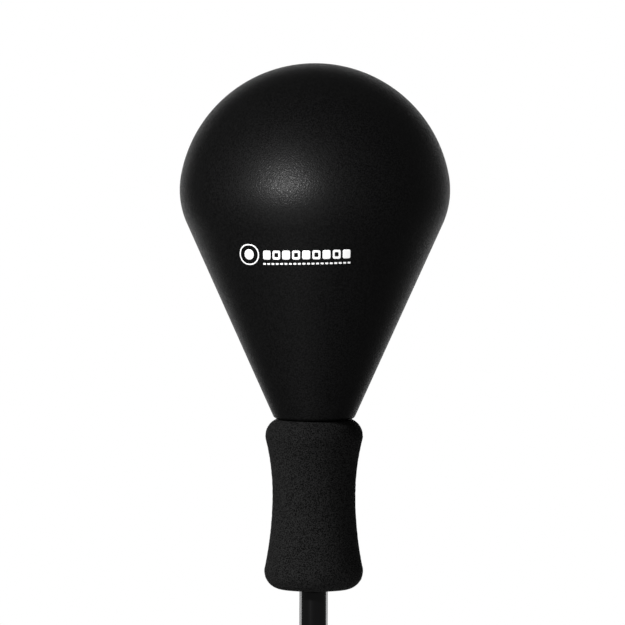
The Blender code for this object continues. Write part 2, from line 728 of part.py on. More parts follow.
def tank_outline():
    """The tank's outer skin, from the neck's top down the outside and up the pole's well."""
    step = TANK_PLATEAU_Z - PLATEAU_FALL
    return [
        (WELL_R, TANK_TOP_Z, 0),
        (TANK_NECK_R - NECK_DRAFT, TANK_TOP_Z, 0.003),
        (TANK_NECK_R, TANK_PLATEAU_Z + 0.004, 0.008),
        (TANK_STEP_R, step, 0.005),
        (TANK_STEP_R + STEP_RUN, step - STEP_DROP, 0.004),
        (TANK_R - TANK_DRAFT, TANK_SHOULDER_Z, 0.034),
        (TANK_R, FOOT_H, 0.010),
        (RECESS_R, FOOT_H, 0),
        (RECESS_R, RECESS_Z, 0),
        (WELL_R, RECESS_Z, 0),
    ]


def hollow_outline(inset, top_z):
    """The room inside the tank, this far inside its walls and cut off at top_z."""
    well = WELL_R + inset
    floor = FOOT_H + inset
    shoulder = (TANK_R - TANK_DRAFT - inset, TANK_SHOULDER_Z - inset)
    low = [
        (TANK_R - inset, floor, 0.006),
        (RECESS_R + inset, floor, 0),
        (RECESS_R + inset, RECESS_Z + inset, 0),
        (well, RECESS_Z + inset, 0),
    ]
    if top_z < shoulder[1]:
        lean = (TANK_R - inset - shoulder[0]) / (shoulder[1] - floor)
        return [(well, top_z, 0), (TANK_R - inset - lean * (top_z - floor), top_z, 0)] + low
    step = TANK_PLATEAU_Z - PLATEAU_FALL - inset
    return [
        (well, TANK_TOP_Z - inset, 0),
        (TANK_NECK_R - NECK_DRAFT - inset, TANK_TOP_Z - inset, 0),
        (TANK_NECK_R - inset, step, 0),
        (TANK_STEP_R - inset / 2, step, 0),
        (TANK_STEP_R + STEP_RUN - 0.002 - inset / 2, step - STEP_DROP, 0),
        (*shoulder, 0.030),
    ] + low


def add_tank(frame):
    tank = lathe("base_tank", rounded(tank_outline()), 36)
    place(tank, "tank_plastic", frame, (0, 0, 0))
    at = (FILLER_X, FILLER_Y, 0)
    boss = rod("filler_boss", FILLER_BOSS_R, FILLER_BOSS_LOW, FILLER_TOP_Z, 28)
    combine(tank, place_cutter(boss, at), "UNION")
    hollow = lathe("tank_hollow", rounded(hollow_outline(TANK_WALL, TANK_TOP_Z)), 36)
    combine(tank, place_cutter(hollow, (0, 0, 0)), "DIFFERENCE")
    low = FILLER_BOSS_LOW - OVERCUT
    hole = rod("filler_hole", FILLER_HOLE_R, low, FILLER_TOP_Z + OVERCUT, 24)
    combine(tank, place_cutter(hole, at), "DIFFERENCE")

    sand = lathe("ballast_sand", rounded(hollow_outline(TANK_WALL + FIT, SAND_Z), 2), 36)
    place(sand, "sand", frame, (0, 0, 0))

    top = FOOT_H - FIT
    outline = [(0, top, 0), (FOOT_R, top, 0), (FOOT_R - FOOT_DRAFT, 0, 0.001), (0, 0, 0)]
    for i in range(FOOT_COUNT):
        angle = TAU * i / FOOT_COUNT
        at = (FOOT_RING_R * math.cos(angle), FOOT_RING_R * math.sin(angle), 0)
        foot = lathe(f"rubber_foot_{i + 1}", rounded(outline, 2), 20)
        place(foot, "foot_rubber", frame, at)


def add_pole_fixing(frame):
    """The bolt, washer and end nut that pull the lower tube down, and the collar that steadies it."""
    washer_top = LOWER_TUBE_LOW - FIT
    washer = ring("base_washer", BASE_BOLT_R + FIT, WASHER_R, -WASHER_H, 0, 28)
    place(washer, "zinc_steel", frame, (0, 0, washer_top))
    at = (0, 0, washer_top - WASHER_H - FIT)
    bolt = hex_bolt("base_bolt", BASE_BOLT_R, BASE_BOLT_L, BASE_HEX_R, BASE_HEAD_H, at)
    place(bolt, "zinc_steel", frame, at)
    end_nut_r = LOWER_TUBE_R - LOWER_TUBE_WALL - FIT
    end_nut = ring("tube_end_nut", BASE_BOLT_R + FIT, end_nut_r, 0, END_NUT_H, 24)
    place(end_nut, "zinc_steel", frame, (0, 0, LOWER_TUBE_LOW + FIT))

    outline = [
        (LOWER_TUBE_R + FIT, COLLAR_H, 0),
        (COLLAR_TOP_R, COLLAR_H, 0.002),
        (COLLAR_R, COLLAR_SKIRT_H, 0.008),
        (COLLAR_R, 0, 0),
        (LOWER_TUBE_R + FIT, 0, 0),
    ]
    collar = lathe("base_collar", rounded(outline), 28)
    seat = TANK_TOP_Z + FIT
    place(collar, "fitting_plastic", frame, (0, 0, seat))
    screw_z = seat + COLLAR_H / 2
    at = (0, 0, screw_z)
    low = LOWER_TUBE_R - OVERCUT
    hole = rod("collar_screw_hole", COLLAR_SCREW_R + FIT, low, COLLAR_R + OVERCUT, 12)
    combine(collar, place_cutter(hole, at, ALONG_X), "DIFFERENCE")
    screw = rod("collar_screw", COLLAR_SCREW_R, LOWER_TUBE_R + FIT, COLLAR_SCREW_X, 12)
    place(screw, "zinc_steel", frame, at, ALONG_X)


def add_filler_cap(seal_frame, cap_frame):
    gasket = ring("cap_gasket", FILLER_HOLE_R + FIT, GASKET_R, 0, GASKET_H, 28)
    seat = FILLER_TOP_Z + FIT
    place(gasket, "foot_rubber", seal_frame, (FILLER_X, FILLER_Y, seat))

    plug_r = FILLER_HOLE_R - 2 * FIT
    outline = [
        (0, CAP_RIM_H, 0),
        (CAP_R, CAP_RIM_H, 0.002),
        (CAP_R, 0, 0),
        (plug_r, 0, 0),
        (plug_r, -CAP_PLUG_L, 0.001),
        (0, -CAP_PLUG_L, 0),
    ]
    at = Vector((FILLER_X, FILLER_Y, seat + GASKET_H + FIT))
    cap = lathe("filler_cap", rounded(outline), 28)
    place(cap, "fitting_plastic", cap_frame, at)
    bpy.ops.mesh.primitive_cube_add(size=1, location=at + Vector((0, 0, CAP_BAR_Z)))
    bar = bpy.context.object
    bar.name = "cap_grip_bar"
    bar.data.transform(Matrix.Diagonal((CAP_BAR_L, CAP_BAR_W, CAP_BAR_H, 1)))
    for held in list(bar.users_collection):
        held.objects.unlink(bar)
    place_cutter(bar, bar.location.copy())
    bevel(bar, CAP_BAR_EDGE_R)
    combine(cap, bar, "UNION")


# ---- Assembly -----------------------------------------------------------------------------------

clear_scene()
part_collection = new_collection("spring_reflex_bag")
cutter_collection = new_collection("cutters")

base = empty("base_frame", (0, 0, 0))
guide_frame = empty("slide_guide_frame", (0, 0, UPPER_TUBE_LOW))
mast_frame = empty("mast_frame", (0, 0, LOWER_TUBE_TOP))
spring_frame = empty("lower_pivot_frame", (0, 0, LOWER_PIVOT_Z))
ball_frame = empty("upper_pivot_frame", (0, 0, UPPER_PIVOT_Z))
pad_frame = empty("clamp_pad_frame", (UPPER_TUBE_R, 0, CLAMP_Z))
knob_frame = empty("knob_frame", (BOSS_REACH, 0, CLAMP_Z))
seal_frame = empty("cap_seal_frame", (FILLER_X, FILLER_Y, FILLER_TOP_Z))
cap_frame = empty("cap_frame", (FILLER_X, FILLER_Y, FILLER_TOP_Z))

add_tank(base)
add_pole_fixing(base)
add_lower_tube(base)
add_clamp(base)
add_filler_cap(seal_frame, cap_frame)
add_clamp_screw(pad_frame, knob_frame)
add_knob(knob_frame)
add_guide(guide_frame)
add_mast(mast_frame)
add_spring(spring_frame)
add_sleeve(spring_frame)
add_ball_mounting(ball_frame)
add_ball(ball_frame)
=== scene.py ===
"""Looks for the spring reflex bag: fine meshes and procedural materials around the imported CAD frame.

Metres, +Z up, in the frame of the CAD. The pole's axis is the Z axis, the front is -Y and the clamp knob
is at +X. Outlines are lists of (r, z) points, or of (r, z, fillet radius) corners that are rounded off.
"""

import json
import math

import bmesh
import bpy
from mathutils import Matrix, Vector, noise

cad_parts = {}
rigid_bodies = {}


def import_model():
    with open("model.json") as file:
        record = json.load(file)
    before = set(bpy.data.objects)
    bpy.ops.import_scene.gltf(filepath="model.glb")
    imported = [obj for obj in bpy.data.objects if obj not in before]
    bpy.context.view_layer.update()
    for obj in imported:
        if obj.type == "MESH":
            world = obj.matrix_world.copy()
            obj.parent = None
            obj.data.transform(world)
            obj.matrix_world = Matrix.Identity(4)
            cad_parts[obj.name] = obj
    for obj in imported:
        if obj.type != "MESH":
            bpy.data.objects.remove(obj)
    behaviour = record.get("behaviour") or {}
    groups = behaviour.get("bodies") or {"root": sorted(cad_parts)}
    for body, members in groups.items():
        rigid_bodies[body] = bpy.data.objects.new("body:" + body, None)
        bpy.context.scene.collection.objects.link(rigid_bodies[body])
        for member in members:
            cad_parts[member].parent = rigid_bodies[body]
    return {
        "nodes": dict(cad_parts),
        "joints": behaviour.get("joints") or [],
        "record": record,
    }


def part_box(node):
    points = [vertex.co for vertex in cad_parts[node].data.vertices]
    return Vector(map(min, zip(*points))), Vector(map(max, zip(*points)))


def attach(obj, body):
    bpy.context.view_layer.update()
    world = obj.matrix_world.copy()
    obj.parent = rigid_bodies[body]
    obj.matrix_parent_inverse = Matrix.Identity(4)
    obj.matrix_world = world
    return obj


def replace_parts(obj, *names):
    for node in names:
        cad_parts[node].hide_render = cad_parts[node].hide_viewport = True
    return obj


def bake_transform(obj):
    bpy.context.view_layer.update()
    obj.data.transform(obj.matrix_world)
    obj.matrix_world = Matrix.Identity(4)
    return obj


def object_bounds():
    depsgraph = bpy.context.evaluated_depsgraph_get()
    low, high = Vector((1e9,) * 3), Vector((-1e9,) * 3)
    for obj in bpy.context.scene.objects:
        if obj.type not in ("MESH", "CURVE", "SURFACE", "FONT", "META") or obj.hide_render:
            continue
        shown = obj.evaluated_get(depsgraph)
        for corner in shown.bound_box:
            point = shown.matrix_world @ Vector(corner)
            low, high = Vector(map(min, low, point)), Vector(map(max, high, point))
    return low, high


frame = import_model()
cad_low, cad_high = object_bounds()

# ---- Shape values that the frame's boxes don't hold ----

TAU = 2 * math.pi
FIT = 0.0003  # gap between pieces that touch on the real object

BALL_R = 0.120
SHOULDER_R = 0.0725
CONE_ANGLE = math.radians(24.25)
NECK_R = 0.0352  # the cone's radius at the ball's bottom
LIP_R = 0.004
SKIN = 0.003
SKIN_FLOOR = 0.004
PRINT_Z = 1.3364
PRINT_ROW_L = 0.0782
PRINT_ROW_MIDDLE = -0.0074  # round the ball from its front
PRINT_SLOPE = 0.022  # its rise for each metre round the ball

SLEEVE_WAIST_R = 0.0366
SLEEVE_WAIST_DEPTH = 0.0666
SLEEVE_SHOULDER_R = 0.016
SLEEVE_SHOULDER_DEPTH = 0.0145
SLEEVE_UPPER_CURVE_R = 0.200
SLEEVE_LOWER_CURVE_R = 0.318
SLEEVE_GRIP_H = 0.006
FOAM_ROUGHNESS = 0.00022
SPRING_TURNS = 14
WIRE_R = 0.003

UPPER_WALL = 0.0015  # the tubes' walls
LOWER_WALL = 0.0012
CROSS_HOLE_R = 0.0027
SCREW_HOLE_R = 0.0041  # in the lower tube, the clamp's collar and its knob
RIVET_HOLE_R = 0.0023

CLAMP_R = 0.0225
KNOB_LOBES = 6
KNOB_LOBE_DEPTH = 0.005
KNOB_FACE_R = 0.011  # round within this
CLAMP_PITCH = 0.00125
CAP_PITCH = 0.004
FLUTES = 16
FLUTE_DEPTH = 0.0022

# ---- Places, read from the frame ----


def top(node):
    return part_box(node)[1].z


def bottom(node):
    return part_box(node)[0].z


def reach(node):
    """A round node's largest distance from the pole's axis along X."""
    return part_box(node)[1].x


def heights(node):
    return bottom(node), top(node)


def middle(node):
    low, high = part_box(node)
    return (low + high) / 2


joints = {joint["name"]: joint for joint in frame["joints"]}
BALL_CENTRE_Z = cad_high.z + 0.0001 - BALL_R
BALL_BOTTOM_Z = bottom("ball_cover")
LOWER_PIVOT_Z = joints["sway_fore_aft"]["pos_m"][2]
UPPER_PIVOT_Z = joints["sway_side"]["pos_m"][2]
SPRING_MIDDLE_Z = (LOWER_PIVOT_Z + UPPER_PIVOT_Z) / 2
SPRING_LOW_Z = bottom("coil_spring") + WIRE_R  # of the wire's centre
SPRING_HIGH_Z = top("coil_spring") - WIRE_R
SLEEVE_TOP_Z = top("foam_sleeve")
SLEEVE_LOW_Z = bottom("foam_sleeve")
UPPER_TUBE_R = reach("upper_tube")
LOWER_TUBE_R = reach("lower_tube")
CLAMP_Z = joints["knob_turn"]["pos_m"][2]
FILLER = Vector(joints["cap_turn"]["pos_m"])
FILLER_AT = (FILLER.x, FILLER.y, 0)
LOW_PIECES_Z = 0.85  # the base's lights shine on what stays below this

# ---- Outlines ----


def arc(centre, radius, start, end, count):
    """count + 1 points of an arc in the (r, z) plane; angles from +r towards +z, in radians."""
    angles = [start + (end - start) * i / count for i in range(count + 1)]
    return [(centre[0] + radius * math.cos(a), centre[1] + radius * math.sin(a)) for a in angles]


def line(start, end, count):
    """The points between two points, without the first."""
    return [
        (start[0] + (end[0] - start[0]) * i / count, start[1] + (end[1] - start[1]) * i / count)
        for i in range(1, count + 1)
    ]


def rounded(corners, count=6):
    """A polyline through (r, z, fillet radius) corners, with each fillet drawn as an arc."""
    points = []
    for i, (r, z, fillet) in enumerate(corners):
        here = Vector((r, z))
        if fillet == 0:
            points.append((r, z))
            continue
        before = (Vector(corners[i - 1][:2]) - here).normalized()
        after = (Vector(corners[(i + 1) % len(corners)][:2]) - here).normalized()
        half = before.angle(after) / 2
        centre = here + (before + after).normalized() * (fillet / math.sin(half))
        start = here + before * (fillet / math.tan(half)) - centre
        end = here + after * (fillet / math.tan(half)) - centre
        first = math.atan2(start.y, start.x)
        sweep = math.remainder(math.atan2(end.y, end.x) - first, TAU)
        points += arc(centre, fillet, first, first + sweep, count)
    return points


def smooth(x, low, high):
    """0 below low, 1 above high, and a smooth step between them."""
    t = min(1.0, max(0.0, (x - low) / (high - low)))
    return t * t * (3 - 2 * t)


# ---- Mesh helpers ----


def lathe(outline, steps=128):
    """A turned solid about the Z axis. An outline ends on the axis, or else it is a closed loop."""
    shape = bmesh.new()
    points = [shape.verts.new((r, 0, z)) for r, z in outline]
    edges = [shape.edges.new(pair) for pair in zip(points, points[1:])]
    if outline[0][0] > 0:
        edges.append(shape.edges.new((points[-1], points[0])))
    turned = {"axis": (0, 0, 1), "cent": (0, 0, 0), "angle": TAU, "steps": steps}
    bmesh.ops.spin(shape, geom=points + edges, use_duplicate=False, **turned)
    bmesh.ops.remove_doubles(shape, verts=shape.verts, dist=0.000002)
    bmesh.ops.recalc_face_normals(shape, faces=shape.faces)
    return shape


def moved(shape, at=(0, 0, 0), turn=None):
    """The same solid, turned about the origin and then moved."""
    matrix = Matrix.Translation(at)
    if turn is not None:
        matrix = matrix @ turn
    bmesh.ops.transform(shape, matrix=matrix, verts=shape.verts)
    return shape


def prism(sides, radius, low, high):
    """A rod or a regular prism along Z."""
    return lathe([(0, high), (radius, high), (radius, low), (0, low)], sides)


def hexagon(radius, low, high):
    """A six-sided prism along Z with two of its corners on Y."""
    return moved(prism(6, radius, low, high), turn=Matrix.Rotation(math.radians(90), 4, "Z"))


ALONG_X = Matrix.Rotation(math.radians(90), 4, "Y")
BACK_ALONG_X = Matrix.Rotation(math.radians(-90), 4, "Y")


def across(shape, z, turn=ALONG_X):
    """A solid made along Z, laid across the pole at this height."""
    return moved(shape, (0, 0, z), turn)


def round_axis(vertex):
    """A point's distance from the Z axis, its angle round it and the direction away from it."""
    flat = Vector((vertex.co.x, vertex.co.y, 0))
    return flat.length, math.atan2(vertex.co.y, vertex.co.x), flat.normalized()


def mesh_object(name, shape):
    mesh = bpy.data.meshes.new(name)
    shape.to_mesh(mesh)
    shape.free()
    made = bpy.data.objects.new(name, mesh)
    bpy.context.scene.collection.objects.link(made)
    return made


def turned(name, corners, detail, steps, at=(0, 0, 0), turn=None):
    """A piece turned about the Z axis from rounded corners, and then stood in its place."""
    return mesh_object(name, moved(lathe(rounded(corners, detail), steps), at, turn))


def cut(obj, tool, operation="DIFFERENCE"):
    """obj with another solid taken away from it, joined to it, or as what both share."""
    other = mesh_object("tool", tool)
    boolean = obj.modifiers.new("boolean", "BOOLEAN")
    boolean.operation = operation
    boolean.object = other
    boolean.solver = "EXACT"
    depsgraph = bpy.context.evaluated_depsgraph_get()
    result = bpy.data.meshes.new_from_object(obj.evaluated_get(depsgraph), depsgraph=depsgraph)
    obj.modifiers.clear()
    obj.data = result
    bpy.data.objects.remove(other)
    return obj


def shade(obj, sharp_degrees):
    """Smooth shading that breaks at edges sharper than the angle."""
    shape = bmesh.new()
    shape.from_mesh(obj.data)
    limit = math.radians(sharp_degrees)
    for face in shape.faces:
        face.smooth = True
    for edge in shape.edges:
        edge.smooth = not (edge.is_manifold and edge.calc_face_angle() > limit)
    shape.to_mesh(obj.data)
    shape.free()


def wear(obj, slot):
    """Gives a piece the material of a slot of the record."""
    obj.data.materials.clear()
    obj.data.materials.append(looks[slot])


def fit_piece(obj, body, node, slot, sharp_degrees=38):
    """Finishes a piece and puts it on its body, in the place of its CAD node."""
    shade(obj, sharp_degrees)
    wear(obj, slot)
    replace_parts(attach(obj, body), node)


def keep_rest_places(obj):
    """Stores where each point is at rest, so that a pattern stays on a piece that bends."""
    rest = obj.data.attributes.new("rest_place", "FLOAT_VECTOR", "POINT")
    for value, vertex in zip(rest.data, obj.data.vertices):
        value.vector = vertex.co


# ---- Materials ----


class Wiring:
    """A node tree being wired up. An input takes a value or another node's output."""

    def __init__(self, tree):
        self.nodes = tree.nodes
        self.links = tree.links

    def put(self, socket, value):
        if isinstance(value, bpy.types.NodeSocket):
            self.links.new(value, socket)
        elif isinstance(value, tuple) and len(value) == 3 and socket.type == "RGBA":
            socket.default_value = (*value, 1.0)
        else:
            socket.default_value = value

    def fill(self, node, **values):
        """Fills a node's inputs by name."""
        for name, value in values.items():
            self.put(node.inputs[name.replace("_", " ")], value)

    def node(self, kind, **values):
        made = self.nodes.new(f"ShaderNode{kind}")
        self.fill(made, **values)
        return made

    def maths(self, operation, first, second, kind="Math"):
        node = self.node(kind)
        node.operation = operation
        self.put(node.inputs[0], first)
        self.put(node.inputs[1], second)
        return node.outputs["Value"]

    def ramp(self, value, low, high, at_low=0.0, at_high=1.0):
        """A smooth step: at_low where the value is under low, and at_high where it is over high."""
        node = self.node("MapRange", Value=value)
        node.interpolation_type = "SMOOTHSTEP"
        self.fill(node, From_Min=low, From_Max=high, To_Min=at_low, To_Max=at_high)
        return node.outputs["Result"]


class Look(Wiring):
    """A Principled material. Its patterns share one set of coordinates: the object's own, or where each
    point is at rest on a piece that bends."""

    def __init__(self, name, bends=False):
        self.material = bpy.data.materials.new(name)
        self.material.use_nodes = True
        super().__init__(self.material.node_tree)
        if bends:
            source = self.node("Attribute")
            source.attribute_name = "rest_place"
            self.place = source.outputs["Vector"]
        else:
            self.place = self.node("TexCoord").outputs["Object"]

    def set(self, **values):
        """Fills the material's own sockets by name."""
        self.fill(self.nodes["Principled BSDF"], **values)

    def stretched(self, scale):
        """The coordinates scaled along each axis."""
        return self.node("Mapping", Vector=self.place, Scale=scale).outputs["Vector"]

    def noise(self, scale, detail=3.0, roughness=0.5, place=None):
        """Noise with this many blotches a metre."""
        node = self.node("TexNoise", Vector=place or self.place)
        self.fill(node, Scale=scale, Detail=detail, Roughness=roughness)
        return node.outputs["Fac"]

    def cells(self, scale, feature="F1"):
        """The distance from the middle of the nearest cell, with this many cells a metre."""
        node = self.node("TexVoronoi", Vector=self.place, Scale=scale)
        node.feature = feature
        return node.outputs["Distance"]

    def mixed(self, share, first, second):
        """Two colours mixed by a share from 0 to 1."""
        node = self.node("Mix", Factor=share)
        node.data_type = "RGBA"
        self.put(node.inputs[6], first)
        self.put(node.inputs[7], second)
        return node.outputs[2]

    def upward(self):
        """1 where the surface faces up and 0 where it faces sideways or down."""
        normal = self.node("NewGeometry").outputs["Normal"]
        return self.ramp(self.node("SeparateXYZ", Vector=normal).outputs["Z"], 0.2, 0.95)

    def relief(self, height, depth, strength=1.0, under=None):
        """A bump whose full height stands for depth metres, over another bump if one is given."""
        node = self.node("Bump", Distance=depth, Strength=strength, Height=height)
        if under is not None:
            self.put(node.inputs["Normal"], under)
        return node.outputs["Normal"]

    def coat(self, pattern, dark, light, low, high, bump):
        """A finish whose colour and roughness follow one pattern."""
        self.set(
            Base_Color=self.mixed(pattern, dark, light),
            Roughness=self.ramp(pattern, 0.3, 0.7, low, high),
            Normal=bump,
        )
        return self.material


def ball_skin():
    """Black synthetic leather: pebbles of a millimetre or so, with finer creases on and between them."""
    look = Look("ball_skin_leather")
    pebbles = look.cells(900, "SMOOTH_F1")
    creases = look.noise(1700, 2.0, 0.6)
    height = look.maths("ADD", look.maths("MULTIPLY", pebbles, -0.9), look.maths("MULTIPLY", creases, 0.5))
    coarse = look.relief(look.noise(760, 1.0), 0.00040, 0.30)
    grain = look.relief(height, 0.00040, 0.42, under=coarse)
    mottle = look.maths("ADD", look.noise(700, 2.0, 0.5), look.noise(1000, 1.0))
    tone = look.ramp(mottle, 0.86, 1.14)
    dark = look.mixed(tone, (0.0006, 0.0006, 0.0007), (0.0072, 0.0072, 0.0074))
    look.set(
        Base_Color=dark,
        Roughness=look.ramp(creases, 0.3, 0.7, 0.26, 0.72),
        Specular_IOR_Level=0.3,
        Normal=grain,
    )
    return look.material


def print_ink():
    look = Look("white_print")
    bump = look.relief(look.cells(820, "SMOOTH_F1"), 0.00020, 0.35)
    return look.coat(look.noise(900, 3.0, 0.7), (0.90, 0.90, 0.90), (0.98, 0.98, 0.98), 0.42, 0.6, bump)


def sleeve_foam():
    """Matte black foam: open cells with paler walls, so it looks finely speckled."""
    look = Look("sleeve_foam_cells", bends=True)
    cells = look.cells(1150)
    fine = look.noise(2200, 2.0, 0.6)
    coarse = look.noise(1150, 1.0, 0.5)
    height = look.maths("ADD", cells, look.maths("MULTIPLY", fine, 0.7))
    rough = look.relief(height, 0.0004, 0.9, under=look.relief(coarse, 0.0004, 0.6))
    speckle = look.maths("ADD", look.maths("MULTIPLY", cells, 0.6), coarse)
    pale = look.ramp(speckle, 0.66, 0.90)
    look.set(
        Base_Color=look.mixed(pale, (0.0004, 0.0004, 0.0004), (0.038, 0.038, 0.038)),
        Roughness=look.ramp(fine, 0.3, 0.7, 0.86, 1.0),
        Diffuse_Roughness=0.3,
        Specular_IOR_Level=0.15,
        Normal=rough,
    )
    return look.material


def tube_gloss():
    """Black gloss enamel on tube, with the faint waviness of the coat and fine lengthwise rub marks."""
    look = Look("tube_gloss_enamel")
    wavy = look.noise(90, 2.0, 0.5)
    rubs = look.noise(1.0, 3.0, 0.6, place=look.stretched((2600, 2600, 9)))
    marks = look.ramp(rubs, 0.58, 0.78)
    look.set(
        Base_Color=look.mixed(marks, (0.0030, 0.0030, 0.0033), (0.0065, 0.0065, 0.007)),
        Roughness=look.maths("ADD", look.maths("MULTIPLY", marks, 0.10), 0.16),
        Coat_Weight=1.0,
        Coat_Roughness=look.ramp(wavy, 0.3, 0.7, 0.03, 0.07),
        Normal=look.relief(wavy, 0.0002, 0.10),
    )
    return look.material


def metal(name, dull, bright, low, high, bends=False, brushed=(1, 1, 1)):
    """A bare or plated metal with fine machining lines, blotches and roughness that varies."""
    look = Look(name, bends)
    blotches = look.noise(140, 4.0, 0.65)
    lines = look.noise(1800, 2.0, 0.6, place=look.stretched(brushed))
    look.set(
        Base_Color=look.mixed(blotches, dull, bright),
        Metallic=1.0,
        Roughness=look.ramp(lines, 0.25, 0.75, low, high),
        Normal=look.relief(lines, 0.00006, 0.35),
    )
    return look.material


def cup_steel():
    """Black powder coat with an orange peel."""
    look = Look("cup_steel_powder_coat")
    peel = look.noise(900, 2.0, 0.5)
    bump = look.relief(peel, 0.00010, 0.5)
    return look.coat(peel, (0.008, 0.008, 0.009), (0.016, 0.016, 0.017), 0.38, 0.55, bump)


def plastic(name, shades, texture, depth, low, high, dust=0.0):
    """Black moulded plastic: the mould's fine texture, a dull mottle, and dust on what faces up."""
    look = Look(name)
    stipple = look.noise(texture, 2.0, 0.55)
    mottle = look.noise(30, 4.0, 0.6)
    colour = look.mixed(mottle, *shades)
    if dust:
        specks = look.maths("MULTIPLY", look.ramp(look.noise(700, 4.0, 0.7), 0.50, 0.72), dust)
        colour = look.mixed(look.maths("MULTIPLY", specks, look.upward()), colour, (0.11, 0.105, 0.10))
    look.set(
        Base_Color=colour,
        Roughness=look.ramp(look.maths("ADD", stipple, mottle), 0.7, 1.3, low, high),
        Normal=look.relief(stipple, depth, 0.6),
    )
    return look.material


def rubber(name, dark, light):
    look = Look(name)
    bump = look.relief(look.noise(1600, 3.0, 0.6), 0.00012, 0.5)
    return look.coat(look.noise(180, 4.0, 0.65), dark, light, 0.68, 0.88, bump)


def sand():
    look = Look("dry_sand")
    grains = look.cells(900)
    tint = look.noise(500, 3.0, 0.7)
    look.set(
        Base_Color=look.mixed(tint, (0.36, 0.27, 0.16), (0.66, 0.56, 0.40)),
        Roughness=0.95,
        Normal=look.relief(grains, 0.0006, 1.0),
    )
    return look.material


looks = {
    "ball_skin": ball_skin(),
    "bladder_rubber": rubber("bladder_latex", (0.035, 0.018, 0.012), (0.075, 0.040, 0.026)),
    "sleeve_foam": sleeve_foam(),
    "tube_gloss": tube_gloss(),
    "spring_steel": metal(
        "spring_wire", (0.13, 0.13, 0.14), (0.26, 0.26, 0.27), 0.28, 0.48, bends=True
    ),
    "zinc_steel": metal("zinc_plate", (0.46, 0.47, 0.50), (0.66, 0.66, 0.66), 0.22, 0.42),
    "cup_steel": cup_steel(),
    "brass": metal("turned_brass", (0.50, 0.34, 0.12), (0.72, 0.54, 0.24), 0.22, 0.40),
    "tank_plastic": plastic(
        "tank_polyethylene",
        ((0.0075, 0.0075, 0.0080), (0.0125, 0.0125, 0.0130)),
        620,
        0.00022,
        0.42,
        0.62,
        dust=0.35,
    ),
    "fitting_plastic": plastic(
        "fitting_nylon", ((0.0080, 0.0080, 0.0085), (0.0130, 0.0130, 0.0138)), 1500, 0.00010, 0.34, 0.5
    ),
    "foot_rubber": rubber("foot_rubber_bloom", (0.012, 0.012, 0.012), (0.026, 0.026, 0.026)),
    "sand": sand(),
}


# ---- Ball ----

CONE_DISTANCE = math.cos(CONE_ANGLE) * NECK_R + math.sin(CONE_ANGLE) * (BALL_CENTRE_Z - BALL_BOTTOM_Z)
SHOULDER_TILT = math.acos((CONE_DISTANCE - SHOULDER_R) / (BALL_R - SHOULDER_R)) - CONE_ANGLE
SHOULDER_X = (BALL_R - SHOULDER_R) * math.cos(SHOULDER_TILT)
SHOULDER_Z = (BALL_R - SHOULDER_R) * math.sin(SHOULDER_TILT)


def cone_radius(inset, height):
    """The cone's radius at a height from the ball's centre, this far inside its outer face."""
    return (CONE_DISTANCE - inset + height * math.sin(CONE_ANGLE)) / math.cos(CONE_ANGLE)


def skin_radius(z):
    """The ball's outer radius at world height z."""
    height = z - BALL_CENTRE_Z
    if height > BALL_R * math.sin(SHOULDER_TILT):
        return math.sqrt(BALL_R**2 - height**2)
    if height > SHOULDER_Z - SHOULDER_R * math.sin(CONE_ANGLE):
        return SHOULDER_X + math.sqrt(SHOULDER_R**2 - (height - SHOULDER_Z) ** 2)
    return cone_radius(0, height)


def skin_outline(inset, hole_r, detail):
    """The ball's sphere and shoulder, this far inside its outer face, down from a hole in its crown."""
    sphere_r = BALL_R - inset
    points = arc((0, 0), sphere_r, math.acos(hole_r / sphere_r), SHOULDER_TILT, 3 * detail)
    shoulder = arc((SHOULDER_X, SHOULDER_Z), SHOULDER_R - inset, SHOULDER_TILT, -CONE_ANGLE, detail)
    return points + shoulder[1:]


def ball_shell():
    """The seamless moulded skin, with its rolled bottom edge and the valve's seat in its crown."""
    low = BALL_BOTTOM_Z - BALL_CENTRE_Z
    neck_r = cone_radius(0, low)
    seat_r = 0.0053
    plug_r = 0.0130
    outer = skin_outline(0, 0.0075, 22)
    rim = [(seat_r, outer[0][1] - 0.0016), (seat_r + 0.0004, outer[0][1] - 0.0004)]
    foot = rounded([(outer[-1][0], outer[-1][1], 0), (neck_r, low, LIP_R), (plug_r, low, 0.0005)], 8)
    cone = line(outer[-1], foot[1], 40)
    floor = low + SKIN_FLOOR
    inner = skin_outline(SKIN, seat_r, 12)
    inside = [(plug_r, floor), (cone_radius(SKIN, floor), floor)] + inner[::-1]
    shape = lathe(rim + outer + cone + foot[2:] + inside, 192)
    return moved(shape, (0, 0, BALL_CENTRE_Z))


def on_skin(shape, along, z):
    """A point on the ball's skin at a height, this far round from the front."""
    radius = skin_radius(z)
    angle = along / radius
    return shape.verts.new((radius * math.sin(angle), -radius * math.cos(angle), z))


def print_patch(shape, middle, width, height, corner, outline=0.0):
    """A printed patch with rounded corners that follows the skin. Its middle is a distance round the ball
    from its front, and a world height. A patch with an outline is hollow, and its outline is this wide."""
    along, z = middle
    x, y = width / 2, height / 2
    rim = rounded([(x, -y, corner), (x, y, corner), (-x, y, corner), (-x, -y, corner)], 10)
    start = 1 - outline / y if outline else 0.0
    rings = 6
    rows = []
    for j in range(rings + 1):
        t = start + (1 - start) * j / rings
        rows.append([on_skin(shape, along + t * out, z + t * up) for out, up in rim])
    for inner, outer in zip(rows, rows[1:]):
        for i in range(len(rim)):
            k = (i + 1) % len(rim)
            shape.faces.new((inner[i], inner[k], outer[k], outer[i]))


